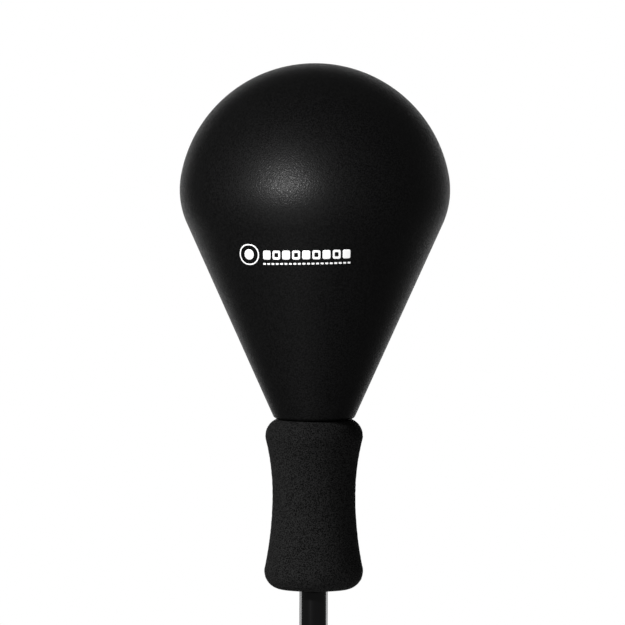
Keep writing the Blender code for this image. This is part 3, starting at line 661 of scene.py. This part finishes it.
def print_row(shape, row_z, count, share, height, outline=0.0):
    """A row of printed blocks that fill this share of its length. Every second one may be hollow."""
    pitch = PRINT_ROW_L / (count - 1 + share)
    for i in range(count):
        offset = (i - (count - 1) / 2) * pitch
        middle = (PRINT_ROW_MIDDLE + offset, row_z + PRINT_SLOPE * offset)
        print_patch(shape, middle, share * pitch, height, 0.2 * height, outline * (i % 2))


def build_print():
    """A plain mark where the ball has its print: a ring with a dot in it, and blocks over dashes."""
    shape = bmesh.new()
    emblem = (PRINT_ROW_MIDDLE - 0.0533, PRINT_Z - 0.0007)
    print_patch(shape, emblem, 0.0204, 0.0186, 0.0092, outline=0.0011)
    print_patch(shape, emblem, 0.0096, 0.0094, 0.0046)
    print_row(shape, PRINT_Z, 9, 0.80, 0.0081, outline=0.0021)
    print_row(shape, PRINT_Z - 0.0078, 20, 0.66, 0.0015)
    bmesh.ops.remove_doubles(shape, verts=shape.verts, dist=0.000001)
    mark = mesh_object("ball_plain_print", shape)
    sheet = mark.modifiers.new("ink", "SOLIDIFY")
    sheet.thickness = 0.00014
    sheet.offset = 0.3
    shade(mark, 38)
    mark.data.materials.append(print_ink())
    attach(mark, "ball")


def build_ball():
    shell = mesh_object("ball_shell", ball_shell())
    fit_piece(shell, "ball", "ball_cover", "ball_skin", 50)
    build_print()

    low, crown = heights("inflation_valve")
    corners = [
        (0, crown - 0.003, 0),
        (0.0008, crown - 0.003, 0),
        (0.0009, crown - 0.0008, 0.0004),
        (0.0030, crown - 0.0004, 0),
        (0.0049, crown, 0.0004),
        (0.0049, low, 0.0008),
        (0, low, 0),
    ]
    plug = turned("inflation_valve_plug", corners, 4, 48)
    fit_piece(plug, "ball", "inflation_valve", "bladder_rubber")
    plug.data.materials[0] = looks["foot_rubber"]  # black, unlike the bladder


# ---- Sleeve and spring ----


def fit_halves(lower, upper, node, slot, sharp_degrees):
    """Finishes a piece made in two halves: shades them, gives them the slot's material, stores their rest
    places and hides its CAD node.
    """
    for half in (lower, upper):
        shade(half, sharp_degrees)
        wear(half, slot)
        keep_rest_places(half)
        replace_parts(half, node)
    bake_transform(lower)
    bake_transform(upper)


def sleeve_side(z):
    """The sleeve's outer radius at world height z: a convex shoulder at each end and two hollow curves that
    meet at the waist."""
    depth = SLEEVE_TOP_Z - z
    length = SLEEVE_TOP_Z - SLEEVE_LOW_Z
    end_depth = length - SLEEVE_SHOULDER_R
    if depth <= SLEEVE_WAIST_DEPTH:
        curve, shoulder_depth = SLEEVE_UPPER_CURVE_R, SLEEVE_SHOULDER_DEPTH
        to_shoulder = SLEEVE_WAIST_DEPTH - shoulder_depth
    else:
        curve, shoulder_depth = SLEEVE_LOWER_CURVE_R, end_depth
        to_shoulder = shoulder_depth - SLEEVE_WAIST_DEPTH
    lean = math.asin(to_shoulder / (curve + SLEEVE_SHOULDER_R))
    if abs(depth - SLEEVE_WAIST_DEPTH) <= curve * math.sin(lean):
        return SLEEVE_WAIST_R + curve - math.sqrt(curve**2 - (depth - SLEEVE_WAIST_DEPTH) ** 2)
    centre_r = SLEEVE_WAIST_R + curve - (curve + SLEEVE_SHOULDER_R) * math.cos(lean)
    return centre_r + math.sqrt(max(0.0, SLEEVE_SHOULDER_R**2 - (depth - shoulder_depth) ** 2))


def sleeve_heights(low, high):
    """Heights from high down to low, closer together where the ends curl in."""
    length = SLEEVE_TOP_Z - SLEEVE_LOW_Z
    count = 150
    every = [SLEEVE_TOP_Z - length * (1 - math.cos(math.pi * i / count)) / 2 for i in range(count + 1)]
    inside = [z for z in every if low + 0.0003 < z < high - 0.0003]
    return [high] + inside + [low]


def foam_bumps(shape, inner_r):
    """The foam's uneven skin, on its outside only."""
    for vertex in shape.verts:
        radius, _, away = round_axis(vertex)
        if radius < inner_r:
            continue
        coarse = noise.noise(vertex.co * 420)
        fine = noise.noise(vertex.co * 800)
        vertex.co += away * FOAM_ROUGHNESS * (coarse + 0.7 * fine)


def sleeve_half(low, high, inner):
    """Half of the sleeve, between two heights. inner is its bore's (r, z) points, from the bottom up."""
    outline = [(sleeve_side(z), z) for z in sleeve_heights(low, high)]
    shape = lathe(outline + inner, 300)
    foam_bumps(shape, inner[-1][0] + 0.002)
    return shape


def build_sleeve():
    bore_r = 0.0258
    grip_r = UPPER_TUBE_R + FIT
    inner = [
        (grip_r, SLEEVE_LOW_Z),
        (grip_r, SLEEVE_LOW_Z + SLEEVE_GRIP_H),
        (bore_r, SLEEVE_LOW_Z + 2 * SLEEVE_GRIP_H),
    ]
    inner += line(inner[-1], (bore_r, SPRING_MIDDLE_Z), 16)
    lower = mesh_object("foam_sleeve_lower", sleeve_half(SLEEVE_LOW_Z, SPRING_MIDDLE_Z, inner))
    inner = [(bore_r, SPRING_MIDDLE_Z)] + line((bore_r, SPRING_MIDDLE_Z), (bore_r, SLEEVE_TOP_Z), 16)
    upper = mesh_object("foam_sleeve_upper", sleeve_half(SPRING_MIDDLE_Z, SLEEVE_TOP_Z, inner))
    fit_halves(lower, upper, "foam_sleeve", "sleeve_foam", 60)


def coil_height(turns):
    """The wire's centre height after so many turns. The first and last turns are closed up."""
    closed = 2.04 * WIRE_R
    pitch = (SPRING_HIGH_Z - SPRING_LOW_Z - 2 * closed) / (SPRING_TURNS - 2)
    from_low = min(turns, 1) * closed
    middle_turns = min(max(turns - 1, 0), SPRING_TURNS - 2) * pitch
    return SPRING_LOW_Z + from_low + middle_turns + max(0, turns - SPRING_TURNS + 1) * closed


def coil_half(first, last):
    """The wire between two turns of the coil, with flat ends."""
    coil_r = reach("coil_spring") - WIRE_R
    per_turn, sides = 44, 16
    step = 0.01  # of a turn, to find the wire's direction
    shape = bmesh.new()
    rings = []
    steps = round((last - first) * per_turn)
    for i in range(steps + 1):
        turns = first + i / per_turn
        angle = TAU * turns
        out = Vector((math.cos(angle), math.sin(angle), 0))
        here = coil_height(turns)
        rise = coil_height(turns + step) - here
        arc_length = coil_r * TAU * step
        along = Vector((-math.sin(angle) * arc_length, math.cos(angle) * arc_length, rise))
        up = along.normalized().cross(out) * -1
        centre = out * coil_r + Vector((0, 0, here))
        ring = []
        for k in range(sides):
            a = TAU * k / sides
            ring.append(shape.verts.new(centre + (out * math.cos(a) + up * math.sin(a)) * WIRE_R))
        rings.append(ring)
    for one, two in zip(rings, rings[1:]):
        for k in range(sides):
            shape.faces.new((one[k], one[(k + 1) % sides], two[(k + 1) % sides], two[k]))
    shape.faces.new(rings[0])
    shape.faces.new(rings[-1])
    bmesh.ops.recalc_face_normals(shape, faces=shape.faces)
    return shape


def build_spring():
    lower = mesh_object("coil_spring_lower", coil_half(0, SPRING_TURNS / 2))
    upper = mesh_object("coil_spring_upper", coil_half(SPRING_TURNS / 2, SPRING_TURNS))
    fit_halves(lower, upper, "coil_spring", "spring_steel", 50)


# ---- Pole ----


def radial_rod(radius, start, end, z, turn=ALONG_X):
    """A rod across the pole, from start to end of the X axis, or of the -X axis where it is turned back."""
    return across(prism(32, radius, start, end), z, turn)


def build_pole():
    """Both tubes, with the holes for the cross bolt and for the clamp's screw and rivet."""
    cross_hole = radial_rod(CROSS_HOLE_R, -0.03, 0.03, middle("cross_bolt").z)
    screw_hole = radial_rod(SCREW_HOLE_R, 0, 0.03, CLAMP_Z)
    rivet_hole = radial_rod(RIVET_HOLE_R, 0.010, 0.03, CLAMP_Z, BACK_ALONG_X)
    edge = 0.0004
    for node, body, outer, inner, holes in (
        ("upper_tube", "mast", UPPER_TUBE_R, UPPER_TUBE_R - UPPER_WALL, [cross_hole]),
        ("lower_tube", "base", LOWER_TUBE_R, LOWER_TUBE_R - LOWER_WALL, [screw_hole, rivet_hole]),
    ):
        low, high = heights(node)
        corners = [(inner, high, edge), (outer, high, edge), (outer, low, edge), (inner, low, edge)]
        tube = turned(f"{node}_enamelled", corners, 3, 128)
        for hole in holes:
            cut(tube, hole)
        fit_piece(tube, body, node, "tube_gloss")


# ---- Height clamp ----


def build_clamp():
    """The moulded collar: a sleeve with grip ribs, a collar lip over the bush and a boss for the screw."""
    low, high = heights("clamp_collar")
    lip = UPPER_TUBE_R + 2 * FIT
    bore_r = LOWER_TUBE_R + FIT
    wide = CLAMP_R
    shoulder = high - 0.004
    ring = 0.0012
    outline = [
        (lip, high, 0.0004),
        (bore_r + 0.0030, high, 0.0016),
        (wide - 0.0010, high - 0.012, 0.004),
        (wide - 0.0010, high - 0.0170, 0.0004),
        (wide, high - 0.0170, ring / 3),
        (wide, high - 0.0170 - 2 * ring, ring / 3),
        (wide - 0.0010, high - 0.0170 - 2 * ring, 0.0004),
        (wide - 0.0010, low + 0.0070, 0.0004),
        (wide, low + 0.0070, 0.0004),
        (wide, low, 0.0025),
        (bore_r, low, 0.0003),
        (bore_r, shoulder, 0),
        (lip, shoulder, 0),
    ]
    shape = lathe(rounded(outline, 4), 192)
    rib_low, rib_high = low + 0.0080, high - 0.0200
    for vertex in shape.verts:
        radius, angle, away = round_axis(vertex)
        side = smooth(abs(angle), math.radians(38), math.radians(50))
        if abs(radius - wide + 0.0010) < 0.0003 and rib_low - 0.002 < vertex.co.z < rib_high + 0.002:
            vertex.co += away * 0.0007 * side * (0.5 + 0.5 * math.cos(24 * angle))
    collar = mesh_object("clamp_collar_moulded", shape)
    boss_end = reach("clamp_collar")
    boss = rounded([(0, boss_end, 0), (0.0115, boss_end, 0.0012), (0.0118, 0.0185, 0), (0, 0.0185, 0)], 4)
    cut(collar, across(lathe(boss, 64), CLAMP_Z), "UNION")
    cut(collar, radial_rod(SCREW_HOLE_R, 0.010, 0.050, CLAMP_Z))
    nut_low, nut_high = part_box("clamp_nut")[0].x - FIT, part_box("clamp_nut")[1].x + FIT
    pocket = across(hexagon(0.0078, nut_low, nut_high), CLAMP_Z)
    cut(collar, pocket)
    cut(collar, radial_rod(RIVET_HOLE_R, 0.010, 0.040, CLAMP_Z, BACK_ALONG_X))
    fit_piece(collar, "base", "clamp_collar", "fitting_plastic", 32)


def build_rivet():
    """The domed rivet that holds the clamp's collar on the lower tube."""
    flange = CLAMP_R + FIT
    stem_end = LOWER_TUBE_R - 0.0017
    dome = [(0, flange + 0.0015, 0.0003), (0.0030, flange + 0.0013, 0.0008), (0.0042, flange, 0)]
    outline = rounded(dome, 4) + [(0.0020, flange), (0.0020, stem_end), (0, stem_end)]
    rivet = mesh_object("collar_rivet_domed", across(lathe(outline, 40), CLAMP_Z, BACK_ALONG_X))
    fit_piece(rivet, "base", "collar_rivet", "zinc_steel")


def cut_thread(shape, radius, depth, pitch, low, high):
    """Cuts a right-handed thread in a turned solid's side. It fades out at both heights."""
    for vertex in shape.verts:
        from_axis, angle, away = round_axis(vertex)
        if abs(from_axis - radius) > 0.00001:
            continue
        turns = (vertex.co.z / pitch - angle / TAU) % 1
        groove = smooth(abs(2 * turns - 1), 0.15, 0.85)
        fade = smooth(vertex.co.z, low, low + pitch) * smooth(-vertex.co.z, -high, pitch - high)
        vertex.co -= away * depth * groove * fade
    return shape


def threaded_rod(radius, depth, pitch, low, high):
    """A rod along Z with a right-handed thread and broken ends."""
    edge = 0.0006
    rows = 12 * round((high - low) / pitch)
    side = [(radius, high - edge)] + line((radius, high - edge), (radius, low + edge), rows)
    outline = [(0, high), (radius - edge, high)] + side + [(radius - edge, low), (0, low)]
    return cut_thread(lathe(outline, 40), radius, depth, pitch, low, high)


def build_clamp_screw():
    low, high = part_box("clamp_screw")
    thread = threaded_rod(high.z - CLAMP_Z, 0.0007, CLAMP_PITCH, low.x, high.x)
    screw = mesh_object("clamp_screw_threaded", across(thread, CLAMP_Z))
    fit_piece(screw, "knob", "clamp_screw", "zinc_steel", 70)


def build_knob():
    """A lobed knob with a dished face, a ring round its hub and a blind bore for the screw."""
    low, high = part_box("clamp_knob")[0].x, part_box("clamp_knob")[1].x
    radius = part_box("clamp_knob")[1].z - CLAMP_Z
    bore_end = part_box("clamp_screw")[1].x + FIT
    corners = [
        (0, high - 0.0022, 0),
        (0.0060, high - 0.0022, 0.0004),
        (0.0066, high - 0.0014, 0.0004),
        (0.0078, high - 0.0014, 0.0004),
        (0.0086, high - 0.0024, 0.0005),
        (0.0120, high - 0.0020, 0.0012),
        (0.0138, high, 0.0010),
        (radius, high, 0.0030),
        (radius, low, 0.0020),
        (0.0100, low, 0.0006),
        (0.0094, low + 0.0008, 0),
        (SCREW_HOLE_R, low + 0.0008, 0.0002),
        (SCREW_HOLE_R, bore_end, 0),
        (0, bore_end, 0),
    ]
    shape = lathe(rounded(corners, 6), 240)
    for vertex in shape.verts:
        from_axis, angle, away = round_axis(vertex)
        share = smooth(from_axis, KNOB_FACE_R, radius)
        swing = (1 - math.cos(KNOB_LOBES * angle)) / 2
        vertex.co -= away * KNOB_LOBE_DEPTH * share * swing**1.3
    knob = mesh_object("clamp_knob_lobed", across(shape, CLAMP_Z))
    fit_piece(knob, "knob", "clamp_knob", "fitting_plastic", 42)


# ---- Base ----


def tank_outline():
    """The blow-moulded tank: a neck, a flat crown with a step, a long sloping shoulder and a side with two
    shallow bands and a parting line, down to the recess under the pole."""
    low = bottom("base_tank")
    high = top("base_tank")
    wide = reach("base_tank") + 0.0003
    well_r = LOWER_TUBE_R + 0.0004
    neck_r = 0.037
    crown = 0.150
    band = 0.0011
    return [
        (well_r, high, 0.0004),
        (neck_r - 0.002, high, 0.003),
        (neck_r, crown + 0.004, 0.008),
        (0.064, crown, 0.004),
        (0.068, crown - 0.0022, 0.002),
        (0.110, crown - 0.0035, 0.005),
        (0.116, crown - 0.0110, 0.004),
        (wide - 0.0045, 0.106, 0.034),
        (wide - 0.0030, 0.0720, 0.0006),
        (wide - 0.0030 - band, 0.0708, 0.0006),
        (wide - 0.0026 - band, 0.0600, 0.0006),
        (wide - 0.0026, 0.0588, 0.0006),
        (wide - 0.0018, 0.0345, 0.0004),
        (wide - 0.0006, 0.0336, 0.0003),
        (wide - 0.0006, 0.0322, 0.0003),
        (wide - 0.0017, 0.0313, 0.0004),
        (wide, low, 0.010),
        (0.232, low, 0.002),
        (0.228, low + 0.0020, 0.002),
        (0.070, low + 0.0020, 0.002),
        (0.066, low, 0.002),
        (0.042, low, 0.001),
        (0.042, 0.030, 0.001),
        (well_r, 0.030, 0),
    ]


def tank_room():
    """The space inside the tank, 4.5 mm inside its walls."""
    wall = 0.0045
    well = LOWER_TUBE_R + wall
    low = bottom("base_tank") + wall + 0.002
    wide = reach("base_tank") - 0.0055 - wall
    return [
        (well, 0.190 - wall, 0),
        (0.035 - wall, 0.190 - wall, 0),
        (0.037 - wall, 0.142, 0.004),
        (0.107, 0.142, 0),
        (0.111, 0.1345, 0),
        (wide, 0.1015, 0.030),
        (wide, low, 0.006),
        (0.042 + wall, low, 0),
        (0.042 + wall, 0.030 + wall, 0),
        (well, 0.030 + wall, 0),
    ]


def add_flutes(shape):
    """Shallow flutes down the tank's sloping top, which fade out round the filler boss."""
    for vertex in shape.verts:
        if vertex.co.z < 0.095:
            continue
        radius, angle, _ = round_axis(vertex)
        window = smooth(radius, 0.126, 0.138) * smooth(-radius, -0.216, -0.198)
        clear = smooth((vertex.co - FILLER).xy.length, 0.034, 0.056)
        wave = 0.5 + 0.5 * math.cos(FLUTES * angle)
        vertex.co.z -= FLUTE_DEPTH * window * clear * smooth(wave, 0.32, 0.78)


def build_tank():
    outline = []
    corners = rounded(tank_outline(), 7)
    for start, end in zip(corners, corners[1:]):
        gap = math.dist(start, end)
        outline += line(start, end, max(1, round(gap / 0.0045)))
    shape = lathe([corners[0]] + outline, 20 * FLUTES)
    add_flutes(shape)
    tank = mesh_object("base_tank_moulded", shape)
    high = FILLER.z - FIT
    boss = [
        (0, high, 0),
        (0.0285, high, 0.0012),
        (0.0300, high - 0.009, 0.0006),
        (0.0322, high - 0.010, 0.0010),
        (0.0345, 0.098, 0),
        (0, 0.098, 0),
    ]
    cut(tank, moved(lathe(rounded(boss, 4), 96), FILLER_AT), "UNION")
    cut(tank, lathe(rounded(tank_room(), 5), 96))
    cut(tank, moved(prism(96, 0.0190, 0.09, 0.16), FILLER_AT))
    fit_piece(tank, "base", "base_tank", "tank_plastic", 34)


def build_feet():
    for i in range(1, 7):
        node = f"rubber_foot_{i}"
        centre = middle(node)
        low, high = heights(node)
        wide = (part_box(node)[1].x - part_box(node)[0].x) / 2
        groove = 0.0010
        corners = [(0, high, 0), (wide, high, 0.0004), (wide - 0.0016, low, 0.0010)]
        for r in (0.0150, 0.0110, 0.0070):
            corners += [(r, low, 0.0002), (r - 0.0004, low + groove, 0.0002)]
            corners += [(r - 0.0014, low + groove, 0.0002), (r - 0.0018, low, 0.0002)]
        corners.append((0, low, 0))
        foot = turned(f"{node}_ribbed", corners, 3, 64, (centre.x, centre.y, 0))
        fit_piece(foot, "base", node, "foot_rubber")


def build_base_collar():
    low, high = heights("base_collar")
    wide = reach("base_collar")
    bore_r = LOWER_TUBE_R + FIT
    corners = [
        (bore_r, high, 0.0004),
        (bore_r + 0.0057, high, 0.0020),
        (wide - 0.0015, low + 0.0060, 0.0080),
        (wide - 0.0015, low + 0.0032, 0.0003),
        (wide, low + 0.0032, 0.0005),
        (wide, low, 0.0005),
        (bore_r, low, 0),
    ]
    collar = turned("base_collar_moulded", corners, 6, 128)
    screw_z = middle("collar_screw").z
    cut(collar, radial_rod(0.0028, bore_r - 0.002, 0.040, screw_z))
    fit_piece(collar, "base", "base_collar", "fitting_plastic")

    start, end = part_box("collar_screw")[0].x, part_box("collar_screw")[1].x
    corners = [(0, end, 0), (0.0025, end, 0.0004), (0.0025, start, 0.0004), (0, start, 0)]
    screw = turned("collar_screw_socket", corners, 3, 32, (0, 0, screw_z), ALONG_X)
    socket = across(hexagon(0.0014, end - 0.0022, end + 0.001), screw_z)
    cut(screw, socket)
    fit_piece(screw, "base", "collar_screw", "zinc_steel")


def build_filler_cap():
    """The filler cap: a knurled rim, a grip bar across a dished top and a threaded plug below."""
    low, high = heights("filler_cap")
    rim_low = bottom("cap_gasket") + 0.002 + FIT
    rim_high = rim_low + 0.007
    wide = 0.0280
    plug_r = 0.0184
    thread = [(plug_r, rim_low)] + line((plug_r, rim_low), (plug_r, low + 0.001), 96)
    corners = [
        (0, rim_high - 0.0020, 0),
        (0.0215, rim_high - 0.0020, 0.0010),
        (0.0230, rim_high, 0.0008),
        (wide, rim_high, 0.0018),
        (wide, rim_low, 0.0006),
    ]
    plug = [(plug_r - 0.001, low), (0.0160, low), (0.0160, rim_low), (0, rim_low)]
    shape = lathe(rounded(corners, 6) + thread + plug, 288)
    for vertex in shape.verts:
        radius, angle, away = round_axis(vertex)
        if radius > wide - 0.0004 and vertex.co.z > rim_low + 0.0006:
            vertex.co -= away * 0.0009 * (1 - abs(math.sin(24 * angle)))
    cut_thread(shape, plug_r, 0.0011, CAP_PITCH, low, rim_low)
    cap = mesh_object("filler_cap_knurled", moved(shape, FILLER_AT))

    bar = bmesh.new()
    bmesh.ops.create_cube(bar, size=1)
    bar_high = high - rim_high + 0.0030
    bmesh.ops.scale(bar, vec=(0.0425, 0.0080, bar_high), verts=bar.verts)
    bmesh.ops.bevel(bar, geom=bar.edges[:], offset=0.0018, segments=4, profile=0.5, affect="EDGES")
    moved(bar, (FILLER.x, FILLER.y, high - bar_high / 2))
    cut(cap, bar, "UNION")
    fit_piece(cap, "cap", "filler_cap", "fitting_plastic", 40)


def build_gasket():
    low, high = heights("cap_gasket")
    inner, outer, edge = 0.0193, 0.0270, 0.0006
    corners = [(inner, high, edge), (outer, high, edge), (outer, low, edge), (inner, low, edge)]
    ring = turned("cap_gasket_ring", corners, 4, 96, FILLER_AT)
    fit_piece(ring, "cap_seal", "cap_gasket", "foot_rubber")


# ---- Fixings ----


def hex_piece(name, radius, low, high):
    """A nut or a bolt's head along Z, with the points of its corners turned away at both ends."""
    flat = 0.87 * radius
    bevel = (radius - flat) * math.tan(math.radians(30))
    corners = [(0, high), (flat, high), (radius, high - bevel)]
    corners += [(radius, low + bevel), (flat, low), (0, low)]
    return cut(mesh_object(name, hexagon(radius, low, high)), lathe(corners, 72), "INTERSECT")


def build_fixings():
    """The bolts and nuts. Each is made about the Z axis and then stood where its CAD node is."""
    # node, body, height of its axis if it lies along X, shank or bore radius, head height, pitch
    fixings = [
        ("base_bolt", "base", None, 0.0050, 0.0065, 0.0015),
        ("mount_bolt", "ball", None, 0.0058, 0.0075, 0.00175),
        ("cross_bolt", "mast", middle("cross_bolt").z, 0.0024, 0.0035, 0.0008),
        ("mount_nut", "ball", None, 0.0061, 0, 0),
        ("cross_nut", "mast", middle("cross_nut").z, 0.00255, 0, 0),
        ("clamp_nut", "base", CLAMP_Z, 0.00395, 0, 0),
    ]
    for node, body, height, shank_r, head_h, pitch in fixings:
        low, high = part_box(node)
        start, end = (low.z, high.z) if height is None else (low.x, high.x)
        piece = hex_piece(f"{node}_hexagon", high.y, start, start + head_h if head_h else end)
        if head_h:
            cut(piece, threaded_rod(shank_r, 0.5 * pitch, pitch, start + head_h - 0.001, end), "UNION")
        else:
            cut(piece, prism(48, shank_r, start - 0.01, end + 0.01))
        if height is not None:
            piece.data.transform(Matrix.Translation((0, 0, height)) @ ALONG_X)
        fit_piece(piece, body, node, "zinc_steel", 34)


def build_turned_fittings():
    """The fittings that are turned about the pole's axis: node, body, slot and outline."""
    washer_low, washer_high = heights("base_washer")
    bush_low, bush_high = heights("top_bush")
    bush_seat = top("lower_tube") + FIT
    bush_r = LOWER_TUBE_R - LOWER_WALL - FIT
    bore_r = UPPER_TUBE_R + FIT
    fittings = [
        (
            ("base_washer", "base", "zinc_steel"),
            [
                (0.0053, washer_high, 0.0003),
                (0.0338, washer_high, 0.0008),
                (0.0338, washer_low, 0.0004),
                (0.0053, washer_low, 0.0003),
            ],
        ),
        (
            ("top_bush", "base", "fitting_plastic"),
            [
                (bore_r, bush_high, 0.0006),
                (LOWER_TUBE_R - FIT, bush_high, 0.0008),
                (LOWER_TUBE_R - FIT, bush_seat, 0.0003),
                (bush_r, bush_seat, 0.0002),
                (bush_r, bush_low, 0.0006),
                (bore_r, bush_low, 0.0004),
            ],
        ),
    ]
    for (node, body, slot), corners in fittings:
        piece = turned(f"{node}_turned", corners, 4, 128)
        fit_piece(piece, body, node, slot)


# ---- The CAD nodes that stay ----


def dress_cad_nodes():
    """Each CAD node that is still shown wears its slot's material."""
    for part in frame["record"]["subparts"]:
        wear(frame["nodes"][part["node"]], part["material_slot"])


# ---- Studio ----


def area_light(name, at, aim, size, watts, receivers=None):
    """A softbox that the camera doesn't see. With receivers, it shines on those pieces alone."""
    light = bpy.data.lights.new(name, "AREA")
    light.shape = "RECTANGLE"
    light.size, light.size_y = size
    light.energy = watts
    lamp = bpy.data.objects.new(name, light)
    bpy.context.scene.collection.objects.link(lamp)
    lamp.location = at
    lamp.rotation_euler = (Vector(aim) - Vector(at)).to_track_quat("-Z", "Y").to_euler()
    lamp.visible_camera = False
    if receivers is not None:
        lit = bpy.data.collections.new(f"{name}_receivers")
        for obj in receivers:
            lit.objects.link(obj)
        lamp.light_linking.receiver_collection = lit


def from_ball(azimuth, elevation, distance):
    """A place seen from the ball's centre. Azimuth is from the front, positive to the right."""
    a, e = math.radians(azimuth), math.radians(elevation)
    return (
        distance * math.sin(a) * math.cos(e),
        -distance * math.cos(a) * math.cos(e),
        BALL_CENTRE_Z + distance * math.sin(e),
    )


BACKDROP_MIDDLE = (-0.01, 1.0, -0.14)  # straight behind and a little down
BACKDROP_INNER = 20  # degrees: its brightness falls away between these angles from its middle
BACKDROP_OUTER = 38
STUDIO_DARK = 0.07


def build_world():
    """White to the camera. To the object it is a dark studio with a white backdrop behind."""
    world = bpy.data.worlds.new("studio")
    bpy.context.scene.world = world
    world.use_nodes = True
    sky = Wiring(world.node_tree)
    sky.nodes.clear()
    direction = sky.node("TexCoord").outputs["Generated"]
    backdrop = Vector(BACKDROP_MIDDLE).normalized()
    facing = sky.maths("DOT_PRODUCT", direction, backdrop, "VectorMath")
    edge, core = (math.cos(math.radians(angle)) for angle in (BACKDROP_OUTER, BACKDROP_INNER))
    wall = sky.ramp(facing, edge, core, STUDIO_DARK, 1.0)
    from_camera = sky.node("LightPath").outputs["Is Camera Ray"]
    seen = sky.node("Mix", Factor=from_camera, A=wall, B=1.0).outputs["Result"]
    background = sky.node("Background", Color=(1, 1, 1), Strength=seen).outputs["Background"]
    sky.node("OutputWorld", Surface=background)


def build_floor():
    """A pale round floor that fades into the white round it, with its own overhead light."""
    shape = bmesh.new()
    bmesh.ops.create_circle(shape, cap_ends=True, segments=128, radius=2.4)
    floor = mesh_object("studio_floor", shape)
    paint = Look("studio_floor_paint")
    from_middle = paint.maths("DISTANCE", paint.place, (0, 0, 0), "VectorMath")
    paint.set(
        Base_Color=(0.88, 0.88, 0.88),
        Roughness=0.8,
        Specular_IOR_Level=0.2,
        Alpha=paint.ramp(from_middle, 0.9, 2.2, 1.0, 0.0),
    )
    floor.data.materials.append(paint.material)
    floor.visible_diffuse = False
    floor.visible_glossy = False
    area_light("floor_light", (0.3, -0.5, 4.0), (0, 0, 0), (3.4, 3.4), 175, [floor])


def low_pieces():
    """The pieces of the base and the lower pole, which stand below the photographed part."""
    found = []
    for obj in bpy.context.scene.objects:
        if obj.type == "MESH" and obj.name != "studio_floor":
            highest = max((obj.matrix_world @ Vector(corner)).z for corner in obj.bound_box)
            if highest < LOW_PIECES_Z:
                found.append(obj)
    return found


def build_studio():
    """Each group of pieces has its own lights, set to what the photograph shows on it."""
    build_world()
    build_floor()
    meshes = [obj for obj in bpy.context.scene.objects if obj.type == "MESH"]
    sleeve = [obj for obj in meshes if obj.name.startswith("foam_sleeve_")]
    others = [obj for obj in meshes if obj not in sleeve]
    mark = [bpy.data.objects["ball_plain_print"]]
    ball = [bpy.data.objects["ball_shell"]]
    tubes = [bpy.data.objects[f"{half}_tube_enamelled"] for half in ("upper", "lower")]
    low = low_pieces()

    centre = (0, 0, BALL_CENTRE_Z)
    key = from_ball(-26, 11.2, 1.3)
    area_light("key_softbox", key, centre, (0.38, 0.08), 12.9, others)
    area_light("print_softbox", key, centre, (0.38, 0.08), 15, mark)
    area_light("right_rim_softbox", from_ball(128, -7, 2.4), centre, (1.3, 2.1), 0.95, ball)
    area_light("ball_under_fill", from_ball(-22, -37, 1.6), centre, (0.9, 0.6), 0.9, ball)
    area_light("left_rim_softbox", from_ball(-138, -22, 2.2), centre, (0.8, 0.8), 0.2, ball)
    # In line with the camera and hidden by the ball, so that it doesn't glint on the ball's outline.
    area_light("rear_softbox", from_ball(180, -3.5, 1.6), centre, (0.18, 0.18), 10)

    for side, azimuth, watts in (("left", -124, 9.5), ("right", 130, 8)):
        a = math.radians(azimuth)
        at = (2.2 * math.sin(a), -2.2 * math.cos(a), 0.95)
        area_light(f"tube_{side}_strip", at, (0, 0, 0.95), (0.85, 1.8), watts, tubes)

    area_light("sleeve_softbox", from_ball(-57, 29, 2.3), (0, 0, 1.1), (0.60, 0.60), 35, sleeve)
    area_light("sleeve_under_fill", (-0.02, -0.36, 0.86), (0, 0, 1.08), (0.3, 0.3), 0.42, sleeve)

    base = (0, 0, 0.15)
    area_light("base_front_softbox", (-1.1, -1.5, 1.7), base, (1.2, 0.9), 40, low)
    area_light("base_right_softbox", (1.9, -0.2, 0.9), base, (0.8, 1.0), 15, low)
    area_light("base_back_softbox", (0.3, 1.8, 1.7), base, (1.4, 0.8), 30, low)


def build_camera():
    """The photograph's long lens, a little higher than the ball and looking slightly down."""
    distance, frame_width, frame_centre_z = 7.0, 0.5515, 1.280
    downward, rolled = math.radians(3.55), math.radians(0.19)
    lens_height = frame_centre_z + distance * math.tan(downward)
    data = bpy.data.cameras.new("camera")
    data.sensor_width = 36
    data.lens = 36 * math.hypot(distance, lens_height - frame_centre_z) / frame_width
    camera = bpy.data.objects.new("camera", data)
    bpy.context.scene.collection.objects.link(camera)
    aim = Vector((-0.0018, 0, frame_centre_z))
    camera.location = (aim.x, -distance, lens_height)
    look = (aim - camera.location).to_track_quat("-Z", "Y")
    roll = Matrix.Rotation(rolled, 3, "Z").to_quaternion()
    camera.rotation_mode = "QUATERNION"
    camera.rotation_quaternion = look @ roll
    data.clip_end = 60
    bpy.context.scene.camera = camera


# ---- Everything together ----

dress_cad_nodes()
build_ball()
build_sleeve()
build_spring()
build_pole()
build_clamp()
build_rivet()
build_clamp_screw()
build_knob()
build_tank()
build_feet()
build_base_collar()
build_filler_cap()
build_gasket()
build_fixings()
build_turned_fittings()
build_studio()
build_camera()
bpy.context.scene.view_settings.view_transform = "Standard"
